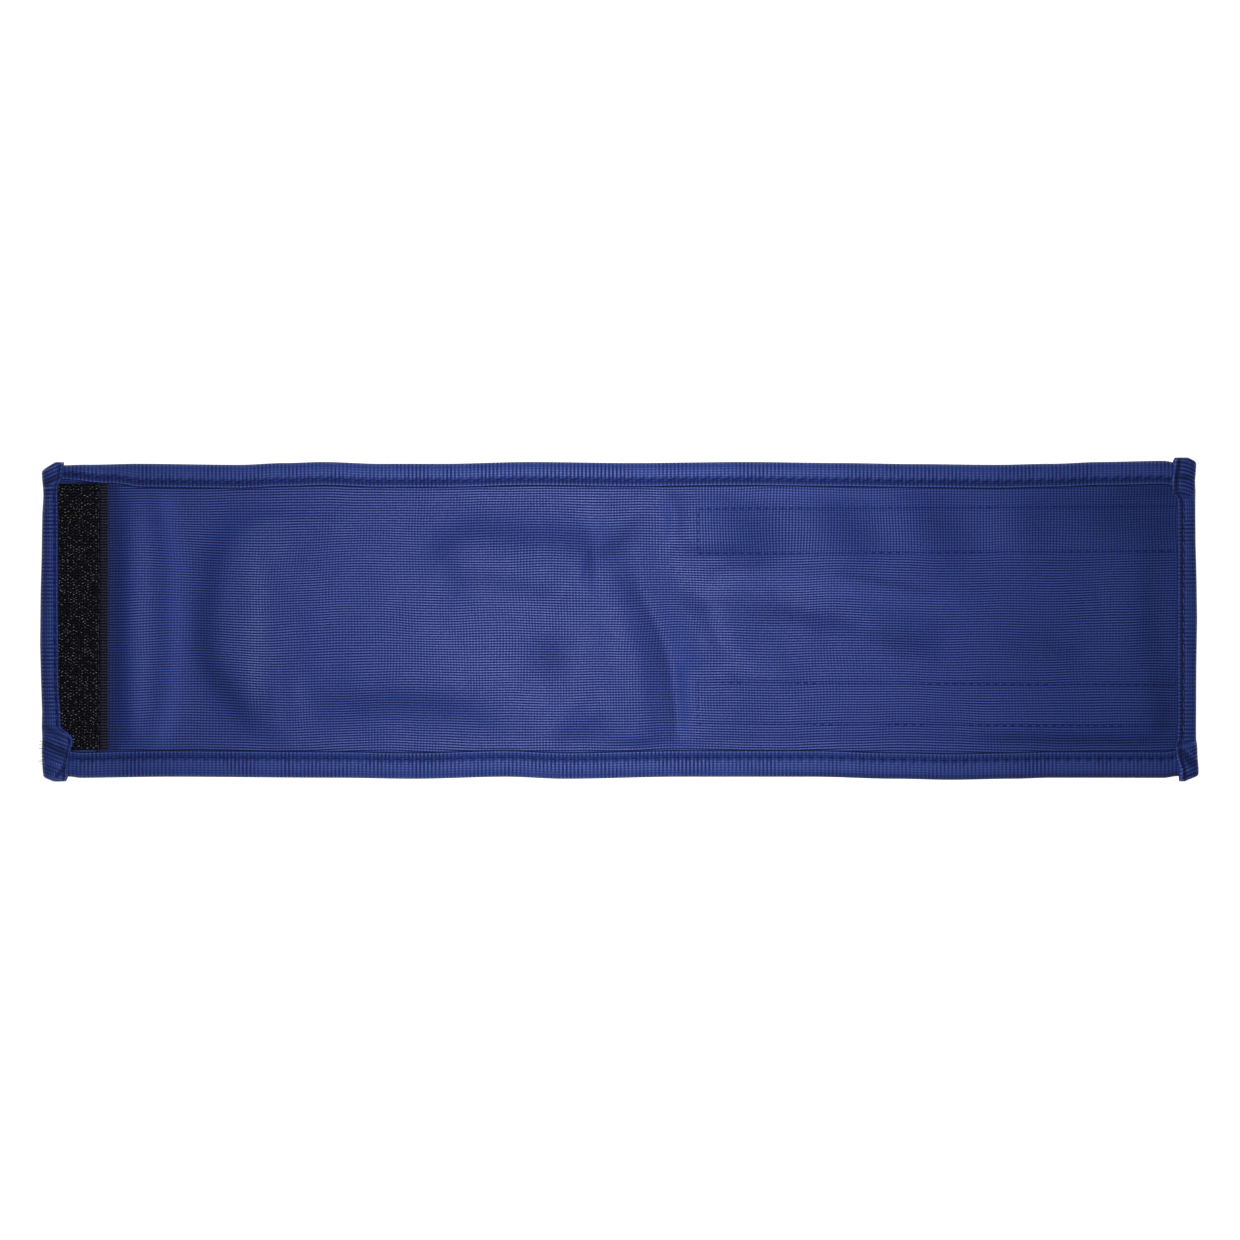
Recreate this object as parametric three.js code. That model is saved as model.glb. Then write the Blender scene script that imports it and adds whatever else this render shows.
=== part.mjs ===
// Fabric armband with a hook-and-loop closure, laid open and flat with its inner face up.
// Frame: the origin lies on the table under the middle of the band, +X runs along the band to the
// end with the loop strips, +Y across it and +Z up. All sizes are in millimetres.

import * as THREE from 'three';

// Thickness of each layer of cloth
const KNIT = 1.2;
const WALL = 1.0;
const CLEARANCE = 0.25;
const LAYER = WALL + CLEARANCE;
const HOOK_HEIGHT = 1.2;

// Plan of the band
const HALF_LENGTH = 225.6;
const HALF_WIDTH = 61.2;
const PANEL_END = 222.4;
const EDGE_INSET = WALL + 0.3;

// Bindings: width from the fold to the inner lip, and the rounded fold itself
const UPPER_BINDING_WIDTH = [
  { x: -219, y: 5.2 },
  { x: -198, y: 7.2 },
  { x: -185, y: 8.9 },
];
const LOWER_BINDING_WIDTH = [
  { x: -222.4, y: 9.6 },
  { x: -185, y: 9.9 },
];
const WIDEST_BINDING = 10;
const NOSE_RADIUS = 1.8;
const NOSE_STEPS = 4;
const CLOSED_POCKET = 0.05;

// Hook tape at the left end, on the inner face
const HOOK_TAPE = { left: -222.4, right: -198.8, upper: 52.8, lower: -50.7 };
const HOOK_FIELD = { left: -216.9, right: -202.3 };
const HOOK_STEP = 0.2;

// Loop tapes at the right end, on the outer face
const LOOP_TAPE = { left: 28.9, right: 222.0, width: 20 };
const LOOP_ROWS = { loop_strip_upper: 35.1, loop_strip_lower: -32.6 };

// The panel sags to this height where nothing lies under it
const SAG_HEIGHT = 0.3;
const SAG_REACH = 8;

// The ends are lifted by the layer folded under them
const LIFT_FULL = 14;
const LIFT_NONE = 27;
const CORNER_NONE = 22;

// Outer line of each long edge, the ends tucked inside the end bindings
const UPPER_EDGE = [
  { x: -219, y: 59.6 },
  { x: -215, y: 60.1 },
  { x: -208, y: 60.3 },
  { x: -187, y: 60.7 },
  { x: -148, y: 60.3 },
  { x: -130, y: 61.0 },
  { x: -115, y: 61.4 },
  { x: -93, y: 60.7 },
  { x: -68, y: 60.7 },
  { x: -35, y: 61.4 },
  { x: 5, y: 61.0 },
  { x: 50, y: 61.4 },
  { x: 86, y: 61.0 },
  { x: 115, y: 60.6 },
  { x: 147, y: 60.3 },
  { x: 168, y: 60.7 },
  { x: 188, y: 61.4 },
  { x: 212, y: 61.8 },
  { x: 217.5, y: 61.0 },
  { x: 222.4, y: 60.6 },
];
const LOWER_EDGE = [
  { x: -222.4, y: -60.6 },
  { x: -214, y: -60.9 },
  { x: -209, y: -61.4 },
  { x: -175, y: -61.0 },
  { x: -110, y: -61.4 },
  { x: -80, y: -61.8 },
  { x: -44, y: -61.0 },
  { x: -21, y: -61.8 },
  { x: 24, y: -61.0 },
  { x: 75, y: -61.0 },
  { x: 108, y: -61.8 },
  { x: 129, y: -62.2 },
  { x: 153, y: -61.8 },
  { x: 168, y: -61.4 },
  { x: 212, y: -61.4 },
  { x: 217.5, y: -60.7 },
  { x: 222.4, y: -60.3 },
];

// Sections of the end bindings: outer fold and inner lip, how far the hooks under the corner tab
// lift it, the extra thickness of the tucked tab, which rounds down at its very end, and how deep
// the pocket runs (1 is fully open)
const LEFT_END = [
  { y: 61.2, outer: -219.6, lip: -216.4, lift: 0, tab: -2.2, pocket: CLOSED_POCKET },
  { y: 60.9, outer: -220.1, lip: -216.4, lift: 0, tab: -0.4, pocket: CLOSED_POCKET },
  { y: 60.5, outer: -220.7, lip: -216.4, lift: 0, tab: 0.8, pocket: CLOSED_POCKET },
  { y: 60.2, outer: -221.2, lip: -216.4, lift: 0, tab: 0.9, pocket: 1 },
  { y: 57.9, outer: -224.7, lip: -216.6, lift: 0, tab: 0.9, pocket: 1 },
  { y: 54.5, outer: -224.6, lip: -217.0, lift: 0, tab: 0.9, pocket: 1 },
  { y: 51.5, outer: -224.3, lip: -218.3, lift: 0, tab: 0.6, pocket: 1 },
  { y: 48.5, outer: -224.2, lip: -218.9, lift: 0, tab: 0, pocket: 1 },
  { y: 45, outer: -224.4, lip: -218.9, lift: 0, tab: 0, pocket: 1 },
  { y: 41.5, outer: -224.7, lip: -218.9, lift: 0, tab: 0, pocket: 1 },
  { y: 38, outer: -224.8, lip: -218.9, lift: 0, tab: 0, pocket: 1 },
  { y: 25, outer: -225.0, lip: -218.9, lift: 0, tab: 0, pocket: 1 },
  { y: 10, outer: -225.4, lip: -218.9, lift: 0, tab: 0, pocket: 1 },
  { y: -10, outer: -225.6, lip: -218.8, lift: 0, tab: 0, pocket: 1 },
  { y: -25, outer: -225.2, lip: -218.7, lift: 0, tab: 0, pocket: 1 },
  { y: -36, outer: -224.8, lip: -218.0, lift: 0.3, tab: 0, pocket: 1 },
  { y: -39.5, outer: -224.8, lip: -217.4, lift: 1.0, tab: 0, pocket: 1 },
  { y: -42, outer: -224.8, lip: -217.2, lift: 1.25, tab: 0.2, pocket: 1 },
  { y: -43.4, outer: -224.9, lip: -215.0, lift: 1.25, tab: 0.7, pocket: 1 },
  { y: -45.8, outer: -225.1, lip: -212.5, lift: 1.25, tab: 0.9, pocket: 1 },
  { y: -48, outer: -225.3, lip: -212.3, lift: 1.25, tab: 0.9, pocket: 1 },
  { y: -51.3, outer: -225.4, lip: -213.4, lift: 1.25, tab: 0.9, pocket: 1 },
  { y: -54, outer: -225.3, lip: -214.0, lift: 0.3, tab: 0.9, pocket: 1 },
  { y: -57.5, outer: -225.1, lip: -214.9, lift: 0, tab: 0.9, pocket: 1 },
  { y: -61.2, outer: -224.6, lip: -214.8, lift: 0, tab: 0.9, pocket: 1 },
  { y: -61.5, outer: -224.3, lip: -214.8, lift: 0, tab: 0.8, pocket: CLOSED_POCKET },
  { y: -62.5, outer: -221.7, lip: -215.3, lift: 0, tab: -0.1, pocket: CLOSED_POCKET },
  { y: -63.0, outer: -220.3, lip: -215.6, lift: 0, tab: -2.0, pocket: CLOSED_POCKET },
];
const RIGHT_END = [
  { y: 63.0, outer: 221.5, lip: 216.8, lift: 0, tab: -2.0, pocket: CLOSED_POCKET },
  { y: 62.7, outer: 222.1, lip: 216.6, lift: 0, tab: -0.3, pocket: CLOSED_POCKET },
  { y: 62.2, outer: 223.2, lip: 216.2, lift: 0, tab: 0.8, pocket: CLOSED_POCKET },
  { y: 61.9, outer: 223.8, lip: 216.1, lift: 0, tab: 0.9, pocket: 1 },
  { y: 61.0, outer: 224.7, lip: 216.0, lift: 0, tab: 0.9, pocket: 1 },
  { y: 57.5, outer: 224.5, lip: 215.6, lift: 0, tab: 0.9, pocket: 1 },
  { y: 54, outer: 224.2, lip: 215.0, lift: 0, tab: 0.9, pocket: 1 },
  { y: 51, outer: 224.3, lip: 215.1, lift: 0, tab: 0.9, pocket: 1 },
  { y: 48.5, outer: 224.4, lip: 215.4, lift: 0, tab: 0.9, pocket: 1 },
  { y: 47.2, outer: 224.5, lip: 217.4, lift: 0, tab: 0.2, pocket: 1 },
  { y: 43, outer: 224.5, lip: 217.7, lift: 0, tab: 0, pocket: 1 },
  { y: 30, outer: 224.6, lip: 217.7, lift: 0, tab: 0, pocket: 1 },
  { y: 15, outer: 225.0, lip: 217.7, lift: 0, tab: 0, pocket: 1 },
  { y: 0, outer: 225.2, lip: 217.7, lift: 0, tab: 0, pocket: 1 },
  { y: -18, outer: 224.9, lip: 217.7, lift: 0, tab: 0, pocket: 1 },
  { y: -40, outer: 224.8, lip: 217.7, lift: 0, tab: 0, pocket: 1 },
  { y: -46.8, outer: 224.8, lip: 217.4, lift: 0, tab: 0.2, pocket: 1 },
  { y: -48.4, outer: 225.0, lip: 216.3, lift: 0, tab: 0.9, pocket: 1 },
  { y: -51, outer: 225.1, lip: 216.6, lift: 0, tab: 0.9, pocket: 1 },
  { y: -54, outer: 225.2, lip: 216.9, lift: 0, tab: 0.9, pocket: 1 },
  { y: -58.3, outer: 225.6, lip: 218.0, lift: 0, tab: 0.9, pocket: 1 },
  { y: -60.9, outer: 225.5, lip: 218.4, lift: 0, tab: 0.9, pocket: 1 },
  { y: -61.2, outer: 224.4, lip: 218.4, lift: 0, tab: 0.8, pocket: CLOSED_POCKET },
  { y: -62.5, outer: 221.3, lip: 218.4, lift: 0, tab: -0.1, pocket: CLOSED_POCKET },
  { y: -63.0, outer: 220.2, lip: 218.4, lift: 0, tab: -2.0, pocket: CLOSED_POCKET },
];

// Soft folds of the panel. Each crest runs from (x0, y0) to (x1, y1) and bows sideways in its middle.
// below and above are its half widths on the side of smaller and of larger X or Y.
const FOLDS = [
  { x0: -193, y0: 44, x1: -192, y1: -46, bow: 0, below: 4, above: 8, height: 1.4 },
  { x0: -175, y0: 46, x1: -177, y1: -30, bow: 2, below: 6, above: 4, height: 0.8 },
  { x0: -151, y0: 34, x1: -138, y1: -41, bow: -12, below: 7, above: 30, height: 1.4 },
  { x0: -140, y0: 0, x1: 0, y1: -6, bow: 0, below: 26, above: 26, height: 0.8 },
  { x0: -68, y0: 21, x1: -14, y1: 24, bow: 6, below: 12, above: 6, height: 1.2 },
  { x0: -52, y0: 11, x1: -21, y1: 2, bow: 2, below: 9, above: 5, height: 0.6 },
  { x0: -30, y0: -14, x1: -20, y1: -14, bow: 0, below: 9, above: 9, height: -0.8 },
  { x0: -117, y0: -30, x1: -64, y1: -28, bow: 1, below: 6, above: 16, height: 0.9 },
  { x0: -10, y0: 35, x1: -10, y1: 14, bow: 0, below: 3, above: 3, height: -0.6 },
  { x0: 1, y0: 24, x1: 12, y1: -45, bow: 1, below: 25, above: 5, height: 1.4 },
  { x0: 19, y0: 24, x1: 29, y1: -45, bow: 1, below: 5, above: 11, height: 1.3 },
  { x0: 47, y0: 8, x1: 137, y1: 5, bow: 11, below: 6, above: 6, height: 0.7 },
  { x0: 47, y0: -11, x1: 133, y1: -14, bow: -5, below: 6, above: 6, height: 0.6 },
  { x0: 200, y0: 22, x1: 200, y1: -20, bow: 0, below: 10, above: 5, height: 0.8 },
];

// Grid of the panel: each span ends at a line of the pattern and holds this many cells
const PANEL_COLUMNS = [
  { to: -211, cells: 2 },
  { to: HOOK_TAPE.right + 0.5, cells: 2 },
  { to: -150, cells: 12 },
  { to: -70, cells: 10 },
  { to: -15, cells: 8 },
  { to: LOOP_TAPE.left - 0.5, cells: 10 },
  { to: 145, cells: 12 },
  { to: 197, cells: 5 },
  { to: PANEL_END, cells: 6 },
];
const PANEL_ROWS = [
  { to: -HALF_WIDTH + WIDEST_BINDING + 1, cells: 2 },
  { to: LOOP_ROWS.loop_strip_lower - LOOP_TAPE.width / 2 - 0.4, cells: 2 },
  { to: LOOP_ROWS.loop_strip_lower + LOOP_TAPE.width / 2 + 0.4, cells: 3 },
  { to: LOOP_ROWS.loop_strip_upper - LOOP_TAPE.width / 2 - 0.4, cells: 7 },
  { to: LOOP_ROWS.loop_strip_upper + LOOP_TAPE.width / 2 + 0.4, cells: 3 },
  { to: HALF_WIDTH - WIDEST_BINDING - 1, cells: 1 },
  { to: HALF_WIDTH - EDGE_INSET, cells: 2 },
];
const BINDING_COLUMNS = [
  { to: -211, cells: 2 },
  { to: -197, cells: 4 },
  { to: -120, cells: 9 },
  { to: 160, cells: 26 },
  { to: 197, cells: 5 },
  { to: 211, cells: 4 },
  { to: PANEL_END, cells: 3 },
];
const LOOP_COLUMNS = [
  { to: 197, cells: 9 },
  { to: 212, cells: 5 },
  { to: LOOP_TAPE.right, cells: 2 },
];
const HOOK_ROWS = [
  { to: -38, cells: 4 },
  { to: 38, cells: 4 },
  { to: HOOK_TAPE.upper, cells: 4 },
];

const BLUE_KNIT = new THREE.MeshStandardMaterial({ color: 0x38427f, roughness: 0.85, metalness: 0 });
const BLUE_BINDING = new THREE.MeshStandardMaterial({ color: 0x323b75, roughness: 0.9, metalness: 0 });
const BLACK_HOOK = new THREE.MeshStandardMaterial({ color: 0x17171a, roughness: 0.6, metalness: 0 });
const BLACK_LOOP = new THREE.MeshStandardMaterial({ color: 0x1d1d21, roughness: 0.95, metalness: 0 });

// 1 up to the distance full, then smoothly down to 0 at the distance none
function fade(distance, full, none) {
  return 1 - THREE.MathUtils.smoothstep(distance, full, none);
}

// Positions of the grid lines from a first value through a table of spans
function gridLines(start, spans) {
  const lines = [start];
  let from = start;
  for (const span of spans) {
    for (let k = 1; k <= span.cells; k += 1) {
      lines.push(from + ((span.to - from) * k) / span.cells);
    }
    from = span.to;
  }
  return lines;
}

// Value y of an edge or width table at x, eased between its rows
function edgeAt(table, x) {
  if (x <= table[0].x) {
    return table[0].y;
  }
  for (let k = 1; k < table.length; k += 1) {
    const before = table[k - 1];
    const after = table[k];
    if (x <= after.x) {
      const share = THREE.MathUtils.smoothstep(x, before.x, after.x);
      return THREE.MathUtils.lerp(before.y, after.y, share);
    }
  }
  return table[table.length - 1].y;
}

// Height that one fold adds at a point
function foldAt(fold, x, y) {
  const dx = fold.x1 - fold.x0;
  const dy = fold.y1 - fold.y0;
  const length = Math.hypot(dx, dy);
  const along = ((x - fold.x0) * dx + (y - fold.y0) * dy) / length;
  const share = THREE.MathUtils.clamp(along / length, 0, 1);
  const overrun = along - share * length;
  const offset = ((y - fold.y0) * dx - (x - fold.x0) * dy) / length;
  const across = offset - fold.bow * 4 * share * (1 - share);
  const halfWidth = across < 0 ? fold.below : fold.above;
  const endWidth = fold.below + fold.above;
  return fold.height * Math.exp(-((across / halfWidth) ** 2) - (overrun / endWidth) ** 2);
}

// How far a loop tape carries the panel at a point, from 0 to 1
function carriedByTape(middle, x, y) {
  const alongside = fade(Math.abs(y - middle) - LOOP_TAPE.width / 2, 0.5, SAG_REACH);
  return alongside * fade(LOOP_TAPE.left - x, 0.5, SAG_REACH + 2);
}

// Height of the panel's underside above the table
function panelUnder(x, y) {
  const fromSide = HALF_WIDTH - Math.abs(y);
  const fromLeft = HALF_LENGTH + x;
  const fromRight = HALF_LENGTH - x;
  const hookReach = HOOK_TAPE.right + HALF_LENGTH;
  const side = fade(fromSide, WIDEST_BINDING + 1, WIDEST_BINDING + SAG_REACH);
  const left = fade(fromLeft, hookReach + 0.5, hookReach + SAG_REACH);
  const right = fade(fromRight, LIFT_FULL, LIFT_NONE);
  const tapes = Object.values(LOOP_ROWS).map((middle) => carriedByTape(middle, x, y));
  const loose = [side, left, right, ...tapes].reduce((rest, carried) => rest * (1 - carried), 1);
  const corner = fade(fromLeft, LIFT_FULL, LIFT_NONE) * fade(fromSide, WIDEST_BINDING + 2, CORNER_NONE);
  const folds = FOLDS.reduce((sum, fold) => sum + foldAt(fold, x, y), 0);
  return LAYER - (LAYER - SAG_HEIGHT) * loose + LAYER * Math.max(corner, right) + folds * loose;
}

// Closed mesh from a list of points and triangles, its faces turned outwards
function solid(points, triangles) {
  const geometry = new THREE.BufferGeometry();
  geometry.setAttribute('position', new THREE.Float32BufferAttribute(points.flat(), 3));
  let volume = 0;
  for (const [a, b, c] of triangles) {
    const cross = new THREE.Vector3(...points[b]).cross(new THREE.Vector3(...points[c]));
    volume += new THREE.Vector3(...points[a]).dot(cross);
  }
  const outward = volume > 0 ? triangles : triangles.map(([a, b, c]) => [a, c, b]);
  geometry.setIndex(outward.flat());
  geometry.computeVertexNormals();
  return geometry;
}

// A sheet over a grid: top and underside joined by a wall round the rim.
// place(column, row) gives x, y, bottom and top.
function sheetSolid(columns, rows, place) {
  const points = [];
  const triangles = [];
  const wide = columns.length;
  const high = rows.length;
  const topIndex = (i, j) => (i * high + j) * 2;
  for (const column of columns) {
    for (const row of rows) {
      const { x, y, bottom, top } = place(column, row);
      points.push([x, y, top], [x, y, bottom]);
    }
  }
  const quad = (a, b, c, d) => triangles.push([a, b, c], [a, c, d]);
  for (let i = 0; i + 1 < wide; i += 1) {
    for (let j = 0; j + 1 < high; j += 1) {
      const [a, b, c, d] = [topIndex(i, j), topIndex(i + 1, j), topIndex(i + 1, j + 1), topIndex(i, j + 1)];
      quad(a, b, c, d);
      quad(a + 1, d + 1, c + 1, b + 1);
    }
  }
  for (let i = 0; i + 1 < wide; i += 1) {
    const [a, b] = [topIndex(i, 0), topIndex(i + 1, 0)];
    const [c, d] = [topIndex(i, high - 1), topIndex(i + 1, high - 1)];
    quad(a, a + 1, b + 1, b);
    quad(c, d, d + 1, c + 1);
  }
  for (let j = 0; j + 1 < high; j += 1) {
    const [a, b] = [topIndex(0, j), topIndex(0, j + 1)];
    const [c, d] = [topIndex(wide - 1, j), topIndex(wide - 1, j + 1)];
    quad(a, b, b + 1, a + 1);
    quad(c, c + 1, d + 1, d);
  }
  return solid(points, triangles);
}

// Section of a folded binding, as distances inward from its fold and heights.
// base and roof give the height of its underside and top at a distance inward.
function foldedSection({ width, pocket, roofWall, base, roof }) {
  const section = [];
  const add = (inward, height) => section.push({ inward, height });
  add(width, roof(width));
  add((width + NOSE_RADIUS) / 2, roof((width + NOSE_RADIUS) / 2));
  for (let k = 0; k <= NOSE_STEPS; k += 1) {
    const angle = (Math.PI * k) / NOSE_STEPS;
    const inward = NOSE_RADIUS * (1 - Math.sin(angle));
    add(inward, THREE.MathUtils.lerp(base(inward), roof(inward), (1 + Math.cos(angle)) / 2));
  }
  add((width + NOSE_RADIUS) / 2, base((width + NOSE_RADIUS) / 2));
  add(width, base(width));
  const deep = width - (width - WALL) * pocket;
  add(width, base(width) + WALL);
  add(deep, base(deep) + WALL);
  add(deep, roof(deep) - roofWall);
  add(width, roof(width) - roofWall);
  return section;
}

// A solid through sections with the same number of points, closed by a flat face at each end
function loftSolid(sections, flatten) {
  const count = sections[0].length;
  const points = sections.flat();
  const triangles = [];
  for (let s = 0; s + 1 < sections.length; s += 1) {
    for (let k = 0; k < count; k += 1) {
      const next = (k + 1) % count;
      const [a, b] = [s * count + k, s * count + next];
      triangles.push([a, b, b + count], [a, b + count, a + count]);
    }
  }
  const cap = (s) => THREE.ShapeUtils.triangulateShape(sections[s].map(flatten), []);
  const last = sections.length - 1;
  cap(0).forEach((face) => triangles.push(turned(face, 0, flatten, sections[0], false)));
  cap(last).forEach((face) => {
    triangles.push(turned(face, last * count, flatten, sections[last], true));
  });
  return solid(points, triangles);
}

// A cap triangle wound with the section's own direction, or against it
function turned(face, start, flatten, section, along) {
  const area = THREE.ShapeUtils.area(section.map(flatten));
  const [p, q, r] = face.map((k) => flatten(section[k]));
  const faceArea = (q.x - p.x) * (r.y - p.y) - (q.y - p.y) * (r.x - p.x);
  const same = faceArea * area > 0;
  const [a, b, c] = face.map((k) => k + start);
  return same === along ? [a, b, c] : [a, c, b];
}

// Binding folded round a long edge; inward is -1 where it folds towards smaller Y
function longBinding(edge, widths, inward, start) {
  const sections = gridLines(start, BINDING_COLUMNS).map((x) => {
    const outer = edgeAt(edge, x);
    const width = edgeAt(widths, x);
    const under = (distance) => panelUnder(x, outer + inward * distance);
    const section = foldedSection({
      width,
      pocket: 1,
      roofWall: WALL,
      base: (distance) => under(distance) - LAYER,
      roof: (distance) => under(distance) + KNIT + LAYER,
    });
    return section.map((point) => [x, outer + inward * point.inward, point.height]);
  });
  return loftSolid(sections, ([, y, z]) => new THREE.Vector2(y, z));
}

// Binding folded round an end. It carries the tape or the long bindings between panel and roof.
function endBinding(table, hooksUnder) {
  const sections = table.map((row) => {
    const width = Math.abs(row.lip - row.outer);
    const inward = Math.sign(row.lip - row.outer);
    const overLongEdge = fade(HALF_WIDTH - Math.abs(row.y), WIDEST_BINDING + 1, WIDEST_BINDING + 5);
    const layersBetween = hooksUnder ? 1 : overLongEdge;
    const stack = KNIT + CLEARANCE + LAYER * layersBetween + row.lift;
    const section = foldedSection({
      width,
      pocket: row.pocket,
      roofWall: WALL + Math.max(row.tab, 0),
      base: () => 0,
      roof: (distance) => {
        return panelUnder(row.outer + inward * distance, row.y) + stack + WALL + row.tab;
      },
    });
    return section.map((point) => [row.outer + inward * point.inward, row.y, point.height]);
  });
  return loftSolid(sections, ([x, , z]) => new THREE.Vector2(x, z));
}

function bodyPanel() {
  const rows = gridLines(-HALF_WIDTH + EDGE_INSET, PANEL_ROWS);
  return sheetSolid(gridLines(-PANEL_END, PANEL_COLUMNS), rows, (x, row) => {
    const edge = row < 0 ? LOWER_EDGE : UPPER_EDGE;
    const pull = Math.abs(edgeAt(edge, x)) - HALF_WIDTH;
    const y = row + Math.sign(row) * pull * (row / HALF_WIDTH) ** 4;
    const bottom = panelUnder(x, y);
    return { x, y, bottom, top: bottom + KNIT };
  });
}

function hookStrip() {
  const columns = [
    HOOK_TAPE.left,
    HOOK_FIELD.left - HOOK_STEP,
    HOOK_FIELD.left,
    (HOOK_FIELD.left + HOOK_FIELD.right) / 2,
    HOOK_FIELD.right,
    HOOK_FIELD.right + HOOK_STEP,
    HOOK_TAPE.right,
  ];
  const rows = gridLines(HOOK_TAPE.lower, HOOK_ROWS);
  return sheetSolid(columns, rows, (x, y) => {
    const bottom = panelUnder(x, y) + KNIT + CLEARANCE;
    const hooks = x >= HOOK_FIELD.left && x <= HOOK_FIELD.right ? HOOK_HEIGHT : 0;
    return { x, y, bottom, top: bottom + WALL + hooks };
  });
}

function loopStrip(middle) {
  const half = LOOP_TAPE.width / 2;
  const rows = [middle - half, middle, middle + half];
  return sheetSolid(gridLines(LOOP_TAPE.left, LOOP_COLUMNS), rows, (x, y) => {
    const top = panelUnder(x, y) - CLEARANCE;
    return { x, y, bottom: top - WALL, top };
  });
}

function piece(name, geometry, material) {
  const mesh = new THREE.Mesh(geometry, material);
  mesh.name = name;
  return mesh;
}

const armband = new THREE.Group();
armband.add(piece('body_panel', bodyPanel(), BLUE_KNIT));
armband.add(piece('hook_strip', hookStrip(), BLACK_HOOK));
for (const [name, middle] of Object.entries(LOOP_ROWS)) {
  armband.add(piece(name, loopStrip(middle), BLACK_LOOP));
}
const upper = longBinding(UPPER_EDGE, UPPER_BINDING_WIDTH, -1, UPPER_EDGE[0].x);
const lower = longBinding(LOWER_EDGE, LOWER_BINDING_WIDTH, 1, LOWER_EDGE[0].x);
armband.add(piece('binding_upper', upper, BLUE_BINDING));
armband.add(piece('binding_lower', lower, BLUE_BINDING));
armband.add(piece('binding_left', endBinding(LEFT_END, true), BLUE_BINDING));
armband.add(piece('binding_right', endBinding(RIGHT_END, false), BLUE_BINDING));

export default armband;
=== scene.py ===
"""Looks of a fabric armband that lies open and flat with its inner face up.

The frame's X runs along the band, Y across it and Z up out of the inner face. Sizes here are in
millimetres and become metres where a mesh is made.
"""

import math
from collections import namedtuple

import bpy
import numpy as np
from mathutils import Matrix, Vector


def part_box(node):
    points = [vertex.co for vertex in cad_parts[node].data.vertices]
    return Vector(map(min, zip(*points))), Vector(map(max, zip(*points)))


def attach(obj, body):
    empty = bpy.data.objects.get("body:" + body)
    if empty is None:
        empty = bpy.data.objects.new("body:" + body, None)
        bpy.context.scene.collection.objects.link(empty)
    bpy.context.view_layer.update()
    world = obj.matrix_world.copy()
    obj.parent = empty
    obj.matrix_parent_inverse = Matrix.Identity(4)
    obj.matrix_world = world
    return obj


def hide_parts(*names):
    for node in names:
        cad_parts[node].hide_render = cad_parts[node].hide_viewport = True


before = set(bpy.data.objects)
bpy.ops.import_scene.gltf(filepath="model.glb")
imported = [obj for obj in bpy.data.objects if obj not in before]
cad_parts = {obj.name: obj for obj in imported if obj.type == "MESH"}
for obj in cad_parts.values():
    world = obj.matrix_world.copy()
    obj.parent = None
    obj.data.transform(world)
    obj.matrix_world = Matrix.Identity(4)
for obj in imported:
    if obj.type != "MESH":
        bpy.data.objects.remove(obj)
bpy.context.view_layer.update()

MM = 0.001
PHOTO_WIDTH_MM = 483.6
PHOTO_CENTRE = (0.49, -0.2)


def box_mm(node):
    """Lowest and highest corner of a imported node, in millimetres."""
    low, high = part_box(node)
    return np.array(low) / MM, np.array(high) / MM


# Thickness of each layer of cloth
KNIT = 1.2
WALL = 1.0
CLEARANCE = 0.25
LAYER = WALL + CLEARANCE

# Plan of the band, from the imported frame
PANEL_END = box_mm("body_panel")[1][0]
HOOK_LOW, HOOK_HIGH = box_mm("hook_strip")
LOOP_LOW, LOOP_HIGH = box_mm("loop_strip_upper")
LOWER_LOOP_LOW, LOWER_LOOP_HIGH = box_mm("loop_strip_lower")
HALF_LENGTH = 225.6
HALF_WIDTH = 61.2
EDGE_INSET = WALL + 0.3
LOOP_WIDTH = LOOP_HIGH[1] - LOOP_LOW[1]
LOOP_ROWS = (
    (LOOP_LOW[1] + LOOP_HIGH[1]) / 2,
    (LOWER_LOOP_LOW[1] + LOWER_LOOP_HIGH[1]) / 2,
)
HOOK_FIELD_LEFT = -216.9
HOOK_FIELD_RIGHT = -202.3

# Bindings: x and width from the fold to the inner lip
UPPER_BINDING_WIDTH = [(-219, 5.2), (-198, 7.2), (-185, 8.9)]
LOWER_BINDING_WIDTH = [(-222.4, 9.6), (-185, 9.9)]
WIDEST_BINDING = 10
NOSE_RADIUS = 1.8
# Points of a binding's section: their distances from the lip, close together near the seam, and how
# many there are on the rest of the roof, round the fold and on the underside
NEAR_LIP = (0, 0.12, 0.3, 0.5, 0.75, 1.0, 1.25, 1.5, 1.75, 2.0, 2.3, 2.65, 3.0, 3.3)
MIDDLE_STEPS = 5
NOSE_STEPS = 9
UNDER_STEPS = 9

# Seams of the bindings: distance from the lip, pitch and slant of the stitches, how much painted shade
# lies in the margin between seam and lip, how far the cloth swells beyond it, how tightly the stitches
# pull, which also sets the painted shade in their notches, and how dark the binding is all over
Seam = namedtuple("Seam", "distance pitch slant margin rise tightness darkness")
UPPER_SEAM = Seam(2.1, 4.2, 1.6, 0.85, 0.5, 1.0, 0.04)
LOWER_SEAM = Seam(2.2, 4.0, -1.4, 0.5, 0.5, 0.9, 0.14)
LEFT_SEAM = Seam(0.95, 4.5, 0.8, 0.5, 0.8, 0.2, 0.28)
RIGHT_SEAM = Seam(2.0, 4.3, 0.3, 0.8, 0.15, 0.2, 0.2)
SEAM_DEPTH = 0.5
SEAM_SPREAD = 0.5
MARGIN_DIP = 0.12
STITCH_SUNK = 0.35 * SEAM_DEPTH
# An end binding's stitches run this far from the middle, up to its tabs
STITCHED_HALF = 47
# A painted highlight along the cut lip, and how far the slanted face under it reaches, which carries
# painted shadow of the gap beside the lip
LIP_SHEEN = 0.7
LIP_GAP = 0.42
# Painted shade on a long binding's fold: how dark, and over what length it sets in
FOLD_PAINTED_SHADE = 0.9
FOLD_DARK_RUN = 60

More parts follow.
